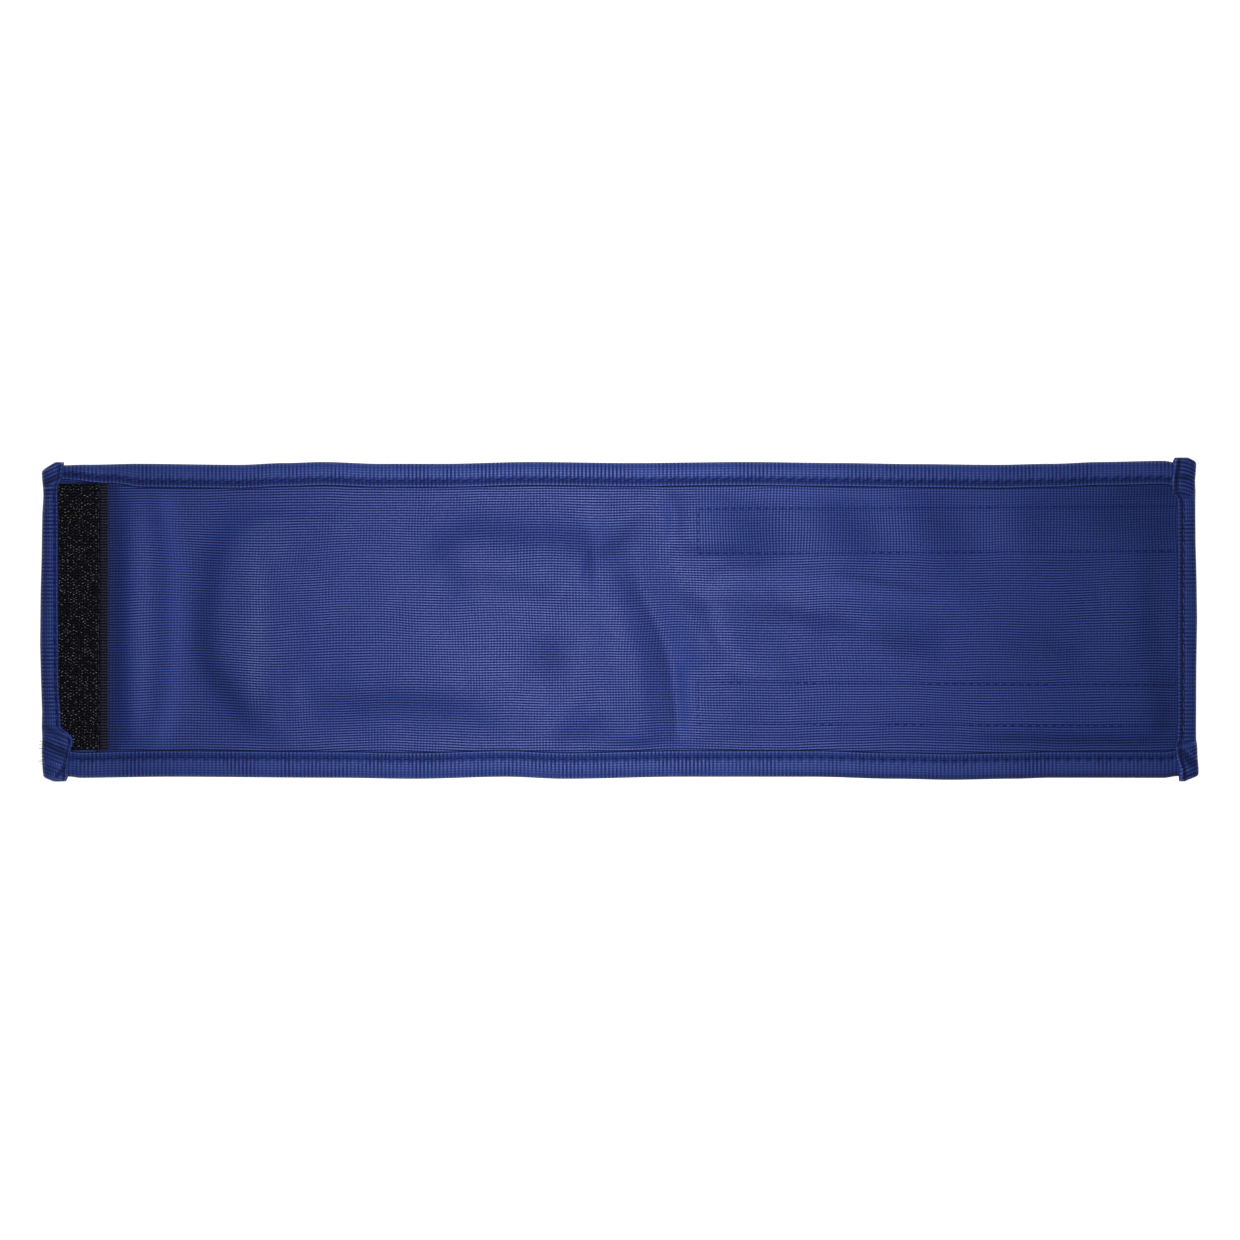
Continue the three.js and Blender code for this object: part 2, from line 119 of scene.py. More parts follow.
# How the panel is carried at its edges and sags between. Of each pair of distances from an edge,
# the first is where the lift or hold is full and the second where it ends
SAG_HEIGHT = 0.7
SAG_REACH = 8
EDGE_SLOPE = 5
CORNER_LIFT = (14, 27)
CORNER_LIFT_SIDE = (12, 22)
END_LIFT = (9, 48)
END_HOLD = (9, 20)

# Outer line of each long edge: x, y
UPPER_EDGE = [
    (-219, 59.6), (-215, 60.1), (-208, 60.3), (-187, 60.7), (-148, 60.3), (-130, 61.0), (-115, 61.4),
    (-93, 60.7), (-68, 60.7), (-35, 61.4), (5, 61.0), (50, 61.4), (86, 61.0), (115, 60.6), (147, 60.3),
    (168, 60.7), (188, 61.4), (212, 61.8), (217.5, 61.0), (222.4, 60.6),
]
LOWER_EDGE = [
    (-222.4, -60.9), (-214, -61.2), (-209, -61.7), (-175, -61.3), (-110, -61.7), (-80, -62.1),
    (-44, -61.3), (-21, -62.1), (24, -61.3), (75, -61.3), (108, -62.1), (129, -62.5), (153, -62.1),
    (168, -61.7), (212, -61.7), (217.5, -61.0), (222.4, -60.6),
]

# Sections of the end bindings: y, outer fold, inner lip, lift by the hooks under the tab, extra
# thickness of the tucked tab, and how deep the pocket runs
CLOSED = 0.05
LEFT_END = [
    (-63.0, -220.0, -215.5, 0, -2.0, CLOSED),
    (-62.5, -221.4, -215.2, 0, -0.1, CLOSED),
    (-61.5, -223.5, -214.7, 0, 0.8, CLOSED),
    (-61.2, -223.8, -214.7, 0, 0.9, 1),
    (-57.5, -224.2, -214.8, 0, 0.9, 1),
    (-54.0, -224.3, -213.9, 0.3, 0.9, 1),
    (-51.3, -224.3, -213.3, 1.25, 0.9, 1),
    (-48.0, -224.2, -212.2, 1.25, 0.9, 1),
    (-45.8, -224.2, -212.4, 1.25, 0.9, 1),
    (-43.4, -224.3, -214.9, 1.25, 0.7, 1),
    (-42.0, -224.5, -217.1, 1.25, 0.2, 1),
    (-39.5, -224.5, -217.3, 1.0, 0, 1),
    (-36.0, -224.5, -217.5, 0.3, 0, 1),
    (-25.0, -224.9, -218.2, 0, 0, 1),
    (-10.0, -225.3, -218.3, 0, 0, 1),
    (10.0, -225.1, -218.4, 0, 0, 1),
    (25.0, -224.7, -218.4, 0, 0, 1),
    (38.0, -224.5, -218.4, 0, 0, 1),
    (41.5, -224.4, -218.4, 0, 0, 1),
    (45.0, -224.1, -218.4, 0, 0, 1),
    (48.5, -223.9, -218.4, 0, 0, 1),
    (51.5, -224.0, -218.2, 0, 0.6, 1),
    (54.5, -224.3, -216.9, 0, 0.9, 1),
    (57.9, -224.4, -216.5, 0, 0.9, 1),
    (60.2, -220.9, -216.3, 0, 0.9, 1),
    (60.5, -220.4, -216.3, 0, 0.8, CLOSED),
    (60.9, -219.8, -216.3, 0, -0.4, CLOSED),
    (61.2, -219.3, -216.3, 0, -2.2, CLOSED),
]
RIGHT_END = [
    (-63.0, 220.2, 218.4, 0, -2.0, CLOSED),
    (-62.5, 221.3, 218.4, 0, -0.1, CLOSED),
    (-61.2, 224.4, 218.4, 0, 0.8, CLOSED),
    (-60.9, 225.5, 218.4, 0, 0.9, 1),
    (-58.3, 225.6, 218.0, 0, 0.9, 1),
    (-54.0, 225.2, 216.9, 0, 0.9, 1),
    (-51.0, 225.1, 216.6, 0, 0.9, 1),
    (-48.4, 225.0, 216.3, 0, 0.9, 1),
    (-46.8, 224.8, 217.4, 0, 0.2, 1),
    (-40.0, 224.8, 217.7, 0, 0, 1),
    (-18.0, 224.9, 217.7, 0, 0, 1),
    (0.0, 225.2, 217.7, 0, 0, 1),
    (15.0, 225.0, 217.7, 0, 0, 1),
    (30.0, 224.6, 217.7, 0, 0, 1),
    (43.0, 224.5, 217.7, 0, 0, 1),
    (47.2, 224.5, 217.4, 0, 0.2, 1),
    (48.5, 224.4, 215.4, 0, 0.9, 1),
    (51.0, 224.3, 215.1, 0, 0.9, 1),
    (54.0, 224.2, 215.0, 0, 0.9, 1),
    (57.5, 224.5, 215.6, 0, 0.9, 1),
    (61.0, 224.7, 216.0, 0, 0.9, 1),
    (61.9, 223.8, 216.1, 0, 0.9, 1),
    (62.2, 223.2, 216.2, 0, 0.8, CLOSED),
    (62.7, 222.1, 216.6, 0, -0.3, CLOSED),
    (63.0, 221.5, 216.8, 0, -2.0, CLOSED),
]

# Ridges of the panel's soft folds: points along each (x, y, height), its reach to the left and to
# the right of the way they run
FOLDS = [
    ([(-190, 48, 0.7), (-190, 25, 1.5), (-190, 0, 1.6), (-190, -30, 1.5), (-189, -48, 1.3)], 9, 5),
    ([(-177, 49, 0.7), (-173.5, 34, 0.9), (-172.5, 5, 0.9), (-173.5, -28, 0.9),
      (-179, -48, 0.9)], 12, 6),
    ([(-128, 36, 0), (-141, 36, 0.9), (-151, 27, 1.8), (-155, 0, 2.3), (-154, -16, 2.5),
      (-146, -28, 2.5), (-137, -38, 2.2), (-127, -45, 0.7)], 24, 7.5),
    ([(-120, -2, 0.3), (-80, -2, 0.7), (-40, -4, 0.7), (0, -6, 0.3)], 24, 24),
    ([(-145, 38, 0), (-135, 38.5, 0.5), (-118, 38, 0.5), (-105, 37, 0)], 3, 3),
    ([(-120, -33, 0), (-106, -28, 1.7), (-85, -26, 2.2), (-62, -29, 2.0), (-36, -36, 0.4)], 20, 9),
    ([(-69, 16, 0.3), (-66, 24, 1.5), (-60, 28.5, 2.1), (-50, 30.5, 2.1), (-37, 27.5, 2.1),
      (-26, 27.5, 2.1), (-15, 24.5, 1.9), (-9, 22, 0.8)], 9, 12),
    ([(-64, 16, 0), (-59, 14.5, 0.8), (-47, 11, 1.1), (-33.5, 8, 1.1), (-21.5, 4.5, 0.4)], 7, 12),
    ([(-24, -44, 0.2), (-14, -38, 1.8), (-5, -33, 0.7)], 5, 8),
    ([(-7, 33, 0.6), (-5.5, 22, 1.8), (-1, 8, 2.6), (5, -12, 3.0), (7.5, -30, 3.0),
      (9, -48, 1.8)], 10.5, 14),
    ([(10, 27, 0.3), (10.5, 14, 1.0), (21, -14.5, 1.9), (25, -36, 1.9), (26, -48, 1.2)], 9, 4),
    ([(-11, 25, -0.7), (-12, 18, -1.3), (-12, 10, 0)], 2.2, 2.2),
    ([(20, 49, 0.9), (22, 38, 1.6), (20, 26, 0.4)], 8, 3.5),
    ([(64, 1, 0), (85, 2, 1.6), (110, -6, 1.6), (124, -12, 0)], 12, 6),
    ([(199, 24, 0), (200, 12, 0.5), (200, -12, 0.5), (199, -22, 0)], 7, 12),
    ([(186.5, 11, -0.2), (188, 5, -0.2)], 1.5, 1.5),
]
# Waves that cross the loop tapes or run close beside them
TAPE_WAVES = [
    ([(30, 47, 0.1), (35, 38, 0.7), (41, 28, 0.7), (48, 17, 0)], 13, 10),
    ([(68, 47, 0.1), (77, 38, 0.8), (86, 28, 0.7), (95, 17, 0)], 13, 11),
    ([(103, 47, 0.1), (113, 38, 0.9), (123, 28, 0.7), (132, 17, 0)], 13, 11),
    ([(145, 47, 0.1), (153, 38, 0.6), (161, 28, 0.4), (168, 17, 0)], 15, 11),
    ([(177, 44, 0.2), (179, 36, 1.2), (181, 26, 0.6)], 16, 18),
    ([(32, 11, 0.4), (42, 16, 0.9), (58, 21, 1.2), (80, 23, 1.2), (104, 20, 1.0), (124, 14, 0.6),
      (141, 7, 0)], 9, 9),
    ([(35, 6, 0.4), (40, -5, 0.9), (49, -16, 0.9), (66, -22, 0.3)], 9, 7),
    ([(135, -42, 0.2), (155, -42, 1.0), (190, -42, 1.1), (214, -42, 0.9)], 8, 4),
]
RIDGE_STEP = 2.5
RIDGE_BLUR = 4
CROWDING_SOFTNESS = 0.02
# Strokes of painted shade along the panel's folds, or, where below 0, of painted highlight: points
# along each (x, y, shade), its reach to the left and to the right of the way they run
PAINTED_SHADING_STROKES = [
    ([(-186.5, 49, -0.3), (-186, 20, -0.5), (-186, -20, -0.5), (-186, -48, -0.3)], 4, 4),
    ([(-177, 49, -0.6), (-174, 30, -0.6), (-173, 0, -0.7), (-174, -30, -0.7), (-179, -50, -0.7)],
     5, 4.5),
    ([(-158, 32, 0.1), (-161, 0, 0.35), (-161, -16, 0.45), (-151, -30, 0.45), (-141, -41, 0.35)],
     8, 4),
    ([(-118, -33, 0), (-106, -32, 0.25), (-80, -31, 0.3), (-58, -33, 0.2), (-45, -36, 0)], 6, 6),
    ([(-70, 25.5, 0.15), (-64.6, 31, 0.25), (-52, 33.5, 0.25), (-40, 31, 0.25), (-30, 31.5, 0.25),
      (-18.6, 29.5, 0.25), (-10.4, 26.3, 0.3)], 6, 6.5),
    ([(-66, 22, 0.2), (-60, 17.5, 0.2), (-46.3, 14.6, 0.2), (-32.7, 11.5, 0.2),
      (-20, 7.6, 0.1)], 4, 4),
    ([(-6.1, 27.1, 0.4), (0.7, 31.5, 0.4), (5.5, 36, 0.25), (11, 38, 0)], 3, 4),
    ([(-11, 26, 0.5), (-11.6, 18, 0.35), (-12, 12, 0)], 1.3, 1.3),
    ([(-13, 46, -0.1), (-8.5, 33, -0.35), (-8, 28, -0.2)], 3.5, 2.5),
    ([(5, 20, 0.1), (7.5, 10.3, 0.3), (13, -2, 0.4), (17.3, -14.6, 0.5), (20.8, -35.7, 0.45),
      (21.5, -47, 0.3)], 1.5, 3.5),
    ([(-4, 26, 0.15), (4, 9, 0.2), (11.5, -13, 0.25), (14, -34, 0.2), (15, -46, 0.15)], 5, 5),
    ([(24.5, -1, -0.1), (25.3, -20, -0.25), (26, -46, -0.4)], 3, 3),
    ([(18, 47, -0.2), (18.5, 30, -0.2)], 3, 3),
    ([(25.5, 9.5, 0.3), (33, 1.5, 0.25)], 4, 4),
    ([(24, 9, 0), (39.5, 13, -0.25), (55, 15, -0.3), (70, 14, -0.25), (86, 12, -0.3),
      (102, 8, -0.25), (120, 6, -0.2), (141, 4, 0)], 6, 4),
    ([(30, 16, 0), (40, 20, 0.2), (55, 22, 0.2), (62, 22, 0)], 2.5, 2.5),
    ([(72, 18.5, 0), (90, 17, 0.3), (108, 13.5, 0.35), (125, 9.7, 0.15)], 1.5, 1.5),
    ([(50, 4, 0.1), (62, 3, 0.35), (75, 1, 0.35), (88, -1, 0.25), (95, -3, 0)], 2.5, 4.5),
    ([(97, -4, 0), (105, -7, 0.35), (118, -10, 0.3), (126, -12, 0)], 4.5, 4.5),
    ([(150, -7, 0.1), (165, -10, 0.25), (178, -14, 0.2)], 7, 7),
    ([(38, 2, -0.2), (45.7, -14, -0.2), (60, -20.5, -0.2)], 4, 4),
    ([(33, 6, 0.1), (35, -4, 0.2), (40, -14, 0.1)], 2, 2),
    ([(20, 26, 0), (28, 26, 0.3), (45, 26.5, 0.35), (54, 27, 0.1)], 3, 2),
    ([(42, 48, 0), (50, 38, 0.25), (57, 30, 0.3), (63, 21, 0)], 9, 9),
    ([(78, 49, 0), (86, 40, 0.3), (94, 31, 0.3), (101, 22, 0)], 9, 9),
    ([(113, 50, 0), (121, 41, 0.35), (129, 31, 0.35), (137, 22, 0)], 9, 9),
    ([(153, 46, 0), (160, 38, 0.25), (166, 30, 0.2), (170, 24, 0)], 8, 8),
    ([(46, 48.3, -0.2), (75, 48.5, -0.35), (104, 47.8, -0.2)], 2.2, 2.2),
    ([(160, 45, 0.1), (188, 43, 0.35), (204, 40, 0.5), (214, 32, 0.5)], 12, 12),
    ([(139, -46.5, 0), (150, -46.8, 0.4), (180, -47.4, 0.6), (215, -47.6, 0.5)], 2, 2),
    ([(208, 24, 0.25), (208, 0, 0.3), (210, -20, 0.4), (212, -40, 0.55)], 6, 6),
    ([(194, 50, 0.2), (206, 50, 0.4), (214, 49, 0.7)], 3, 3),
    ([(45, -48, 0.1), (46, 0, 0.12), (45, 46, 0.1)], 14, 26),
    ([(-22, -46, 0.2), (-8, -37, 0.25)], 4, 4),
    ([(-34, -32, -0.1), (-22, -36, -0.2)], 4, 4),
    ([(-27, -8, 0.3), (-26.5, -14, 0.45), (-26, -20, 0.3)], 7, 7),
]

# Tilt and arch of the ribs in each corner tab: corner x, y, reach along the end, tilt, arch
LEFT_TABS = [(-221, 60, 9, -0.45, 0.0), (-219, -54, 12, 0.4, 0.0)]
RIGHT_TABS = [(220, 55, 9, 0.25, 0.05), (221, -56, 10, -0.45, 0.0)]
# Painted shade for each millimetre of a crease's depth, and painted highlight where a crease stands up
CREASE_SHADE = 2.1
# Creases of the tucked corners, on the end bindings: x0, y0, x1, y1, half width, height
CREASES = [
    (-224.2, 56.7, -219.1, 59.1, 0.45, 0.40),
    (-224.5, 57.8, -219.3, 60.3, 0.40, -0.35),
    (-222.6, 52.8, -218.7, 55.2, 0.9, -0.45),
    (-223.4, 50.9, -218.6, 51.7, 0.4, 0.40),
    (-223.6, 49.7, -219.0, 50.2, 0.5, -0.30),
    (-222.0, -42.3, -217.6, -44.6, 1.2, -0.32),
    (-217.2, -42.7, -212.9, -46.0, 0.5, 0.35),
    (-221.8, -45.8, -217.5, -48.6, 0.4, 0.30),
    (-223.4, -47.4, -216.4, -51.7, 1.1, -0.40),
    (-216.4, -50.1, -214.4, -53.2, 0.9, -0.40),
    (-223.8, -54.8, -217.5, -57.1, 0.5, 0.30),
    (-215.7, -57.8, -217.9, -60.5, 0.45, -0.80),
    (-224.1, -60.3, -217.0, -61.2, 0.4, 0.30),
    (216.7, 61.8, 215.6, 57.1, 0.6, 0.35),
    (215.6, 57.1, 215.4, 52.8, 0.6, 0.35),
    (217.6, 55.4, 217.9, 55.4, 0.55, -0.75),
    (219.4, 55.2, 219.7, 55.2, 0.55, -0.75),
    (221.0, 55.0, 221.3, 55.0, 0.55, -0.75),
    (216.2, 49.6, 221.2, 48.4, 0.6, -0.45),
    (216.7, -50.3, 224.3, -47.8, 0.45, 0.45),
    (216.9, -49.2, 224.1, -46.9, 0.45, -0.30),
    (217.4, -53.9, 218.9, -58.3, 0.4, 0.45),
    (218.9, -58.3, 219.0, -61.8, 0.4, 0.45),
    (220.0, -52.6, 222.6, -55.6, 1.3, -0.65),
    (220.8, -50.9, 224.0, -53.8, 0.4, 0.35),
    (220.5, -58.7, 224.7, -56.7, 0.4, 0.30),
    (219.3, -61.4, 225.1, -59.5, 0.5, -0.35),
]

# Pitch of the knit's columns and rows of loops, really 0.8 and 0.93, and of the selvage's ribs,
# really 0.92: all drawn a little coarser, so that they show in the render
WALE_PITCH = 1.15
COURSE_PITCH = 1.0
SELVAGE_RIB_PITCH = 1.1
SELVAGE_RIB = 0.2
# The bindings' knit and ribs, as they are
FINE_WALE_PITCH = 1.5
RIB_PITCH = 1.5
RIB_DEPTH = 0.03
STATION_STEP = RIB_PITCH / 4
THREAD_RADIUS = 0.18
THREAD_GROOVE = 0.03
# Colour of the knit in its grooves, darkened as painted shade, and of its yarn
KNIT_SHADED_GROOVE = "#060d60"
KNIT_YARN = "#315ac3"
# Pale colour of the painted highlight, mixed into the yarn where its shade is below 0
KNIT_PAINTED_SHEEN = "#8088b8"
# Depth of its grooves, roughness and gloss
KNIT_FINISH = (0.05, 0.47, 0.78)

# Grid of the panel, finer along the stitched outlines and where the long bindings' lips end
PANEL_STEP = 1.3
FINE_STEP = 0.45
LIP_BAND = (50.0, 53.0)
LIP_STEP = 0.3

# Stitched outlines of the loop tapes: Y of the long lines at their left ends, for each tape, and how
# far the lines drift apart towards the panel's right end
LOOP_SEAM_LINES = ((25.6, 43.1), (-40.6, -24.6))
LOOP_SEAM_DRIFT = 1.0
LOOP_SEAM_INSET = 2.0
LOOP_SEAM_HALF_BAND = 1.6
LOOP_SEAM_DEPTH = 0.12
LOOP_SEAM_SPREAD = 0.7
LOOP_SEAM_PITCH = 3.2
LOOP_SEAM_STEP = 0.8

# Hooks and pile: pitches, scatter and how deep their feet stand in the tape
HOOK_PITCH_X = 1.1
HOOK_PITCH_Y = 1.25
HOOK_SCATTER = (0.14, 0.16)
HOOK_SUNK = 0.1
# Pale colour painted on some hooks as painted glints
HOOK_PAINTED_GLINT = "#c4c4c8"
LOOP_BACKING = 0.55
PILE_PITCH = 1.35
PILE_SCATTER = 0.3
PILE_SUNK = 0.05
PILE_INSET = 0.8

# Where the cut yarn ends stand out of the fold, and their least height
FRAY_SPOTS = [
    (-224.4, -47.6), (-224.5, -48.4), (-224.5, -49.3), (-224.6, -50.2), (-224.5, -51.2),
    (-224.5, -52.0), (-224.5, -53.3), (-224.5, -54.6), (-224.4, -55.1), (-224.5, -56.2),
]
FRAY_HEIGHT = 2.6

# Stage, light and camera
FLOOR_HALF = 6000
FLOOR_GLOW = 1.0
ROOM_LIGHT = 0.045
SOFTBOX_SIZE = 128
SOFTBOX_POWER = 0.72
SOFTBOX_PLACE = (-8, 5, 310)
CAMERA_HEIGHT = 1500
SENSOR_WIDTH = 36


def smoothstep(value, low, high):
    share = np.clip((value - low) / (high - low), 0, 1)
    return share * share * (3 - 2 * share)


def fade(distance, full, none):
    """1 up to the distance full, then smoothly down to 0 at the distance none."""
    return 1 - smoothstep(distance, full, none)


def edge_at(table, x):
    """Value of an edge or width table at x, eased between its rows."""
    places = np.array([row[0] for row in table], float)
    values = np.array([row[1] for row in table], float)
    x = np.clip(x, places[0], places[-1])
    before = np.clip(np.searchsorted(places, x, side="right") - 1, 0, len(table) - 2)
    share = smoothstep(x, places[before], places[before + 1])
    return values[before] + (values[before + 1] - values[before]) * share


def ridge_line(points):
    """Places every few millimetres along a smooth line through the points, the line's direction at
    each and the distance between them."""
    known = np.array(points, float)
    padded = np.concatenate([2 * known[:1] - known[1:2], known, 2 * known[-1:] - known[-2:-1]])
    stretches = []
    for a, b, c, d in zip(padded, padded[1:], padded[2:], padded[3:]):
        count = max(2, round(math.hypot(*(c - b)[:2]) / RIDGE_STEP))
        share = np.linspace(0, 1, count + 1)[:-1, None]
        bend = 2 * b + (c - a) * share + (2 * a - 5 * b + 4 * c - d) * share ** 2
        stretches.append((bend + (3 * b - a - 3 * c + d) * share ** 3) / 2)
    line = np.concatenate(stretches + [known[-1:]])
    along = np.gradient(line[:, :2], axis=0)
    spacing = np.hypot(along[:, 0], along[:, 1])
    return line, along / spacing[:, None], spacing


def fold_at(fold, x, y):
    """What one soft fold or stroke adds at each point."""
    points, left, right = fold
    height = np.zeros(np.shape(x))
    crowding = np.zeros(np.shape(x))
    for (x0, y0, ridge), (dx, dy), spacing in zip(*ridge_line(points)):
        onward = (x - x0) * dx + (y - y0) * dy
        aside = (y - y0) * dx - (x - x0) * dy
        reach = np.where(aside > 0, left, right)
        share = spacing / (RIDGE_BLUR * math.sqrt(math.pi))
        near = share * np.exp(-((onward / RIDGE_BLUR) ** 2))
        height += ridge * near * np.exp(-((aside / reach) ** 2))
        crowding += near
    # Inside a bend the places crowd together, which would heap the fold up: so the height is
    # divided by the crowding where that is above 1, with a soft start
    return height / (0.5 * (crowding + 1 + np.sqrt((crowding - 1) ** 2 + CROWDING_SOFTNESS)))


def crease_at(crease, x, y):
    """Height that one narrow straight crease adds at each point."""
    x0, y0, x1, y1, half_width, height = crease
    dx, dy = x1 - x0, y1 - y0
    length = math.hypot(dx, dy)
    along = ((x - x0) * dx + (y - y0) * dy) / length
    overrun = along - np.clip(along, 0, length)
    across = ((y - y0) * dx - (x - x0) * dy) / length
    return height * np.exp(-((across / half_width) ** 2) - (overrun / (2 * half_width)) ** 2)


def creases_at(x, y):
    """Height that all the creases add at each point."""
    return sum(crease_at(crease, x, y) for crease in CREASES)


def carried_by_tape(middle, x, y):
    """How far a loop tape carries the panel at a point, from 0 to 1."""
    alongside = fade(np.abs(y - middle) - LOOP_WIDTH / 2, 0.5, SAG_REACH)
    return alongside * fade(LOOP_LOW[0] - x, 0.5, SAG_REACH)


def panel_under(x, y):
    """Height of the panel's underside above the table: it sags between the bindings and tapes that
    carry it, and its folds stand up."""
    from_side = HALF_WIDTH - np.abs(y)
    from_left = HALF_LENGTH + x
    from_right = HALF_LENGTH - x
    hook_reach = HOOK_HIGH[0] + HALF_LENGTH
    side = fade(from_side, WIDEST_BINDING + 0.3, WIDEST_BINDING + EDGE_SLOPE)
    left = fade(from_left, hook_reach + 0.2, hook_reach + EDGE_SLOPE)
    loose = (1 - side) * (1 - left) * (1 - fade(from_right, *END_HOLD))
    held = loose
    for middle in LOOP_ROWS:
        held = held * (1 - carried_by_tape(middle, x, y))
    folds = sum(fold_at(fold, x, y) for fold in FOLDS)
    waves = sum(fold_at(fold, x, y) for fold in TAPE_WAVES)
    corner = fade(from_left, *CORNER_LIFT) * fade(from_side, *CORNER_LIFT_SIDE)
    lifted = LAYER * np.maximum(corner, fade(from_right, *END_LIFT))
    return LAYER - (LAYER - SAG_HEIGHT) * held + lifted + folds * held + waves * loose


def hex_to_linear(code):
    """sRGB hex colour as linear RGBA."""
    channels = [int(code[k:k + 2], 16) / 255 for k in (1, 3, 5)]
    return [c / 12.92 if c <= 0.04045 else ((c + 0.055) / 1.055) ** 2.4 for c in channels] + [1]


def put(tree, kind, inputs=(), **settings):
    """Adds a node with its settings. inputs are its sockets by place or name, each a value or a
    node or socket to link; None leaves a socket alone."""
    node = tree.nodes.new(kind)
    for name, value in settings.items():
        setattr(node, name, value)
    pairs = inputs.items() if isinstance(inputs, dict) else enumerate(inputs)
    for key, value in pairs:
        if isinstance(value, bpy.types.Node):
            value = next(socket for socket in value.outputs if socket.enabled)
        if isinstance(value, bpy.types.NodeSocket):
            tree.links.new(value, node.inputs[key])
        elif value is not None:
            node.inputs[key].default_value = value
    return node


# Meshes

def add_object(name, data):
    """New object at the scene's origin."""
    obj = bpy.data.objects.new(name, data)
    bpy.context.scene.collection.objects.link(obj)
    return obj


def dress(obj, material, node):
    """Gives a piece its material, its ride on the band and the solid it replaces."""
    obj.data.materials.append(material)
    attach(obj, "root")
    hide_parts(node)


def put_values(mesh, name, kind, field, values):
    """Adds an attribute with a value for each point."""
    attribute = mesh.attributes.new(name, kind, "POINT")
    attribute.data.foreach_set(field, np.asarray(values, np.float32).ravel())


def make_mesh(name, points, faces, cloth=None, shade=None):
    """Object at the origin from points in millimetres. cloth gives each point's place on the cloth
    (along, across, towards the fold), shade how much painted shade lies at each point, as in seams,
    creases and gaps, or below 0 how much painted highlight."""
    mesh = bpy.data.meshes.new(name)
    mesh.from_pydata((np.asarray(points) * MM).tolist(), [], faces)
    if cloth is not None:
        put_values(mesh, "cloth_mm", "FLOAT_VECTOR", "vector", cloth)
    if shade is not None:
        put_values(mesh, "shade", "FLOAT", "value", shade)
    mesh.polygons.foreach_set("use_smooth", [True] * len(mesh.polygons))
    mesh.update()
    return add_object(name, mesh)


def spaced(start, stops):
    """Grid lines from start through stops, each stop (end, largest step)."""
    lines = [start]
    for end, step in stops:
        count = max(1, math.ceil((end - lines[-1]) / step))
        lines.extend(np.linspace(lines[-1], end, count + 1)[1:])
    return np.array(lines)


def sheet_mesh(name, columns, rows, place):
    """Closed sheet over a grid. place(x, y) gives x, y, bottom, top and shade for all its points."""
    grid_x, grid_y = np.meshgrid(columns, rows, indexing="ij")
    x, y, bottom, top, shade = place(grid_x, grid_y)
    upper = np.stack([x, y, top], -1).reshape(-1, 3)
    lower = np.stack([x, y, bottom], -1).reshape(-1, 3)
    wide, high = grid_x.shape
    index = np.arange(wide * high).reshape(wide, high)
    a, b, c, d = index[:-1, :-1], index[1:, :-1], index[1:, 1:], index[:-1, 1:]
    top_faces = np.stack([a, b, c, d], -1).reshape(-1, 4)
    bottom_faces = top_faces[:, ::-1] + wide * high
    rim = np.concatenate([index[:, 0], index[-1, 1:], index[-2::-1, -1], index[0, -2:0:-1]])
    following = np.roll(rim, -1)
    rim_faces = np.stack([rim, rim + wide * high, following + wide * high, following], -1)
    faces = np.concatenate([top_faces, bottom_faces, rim_faces]).tolist()
    shades = np.concatenate([shade.ravel(), shade.ravel() * 0])
    return make_mesh(name, np.concatenate([upper, lower]), faces, shade=shades)


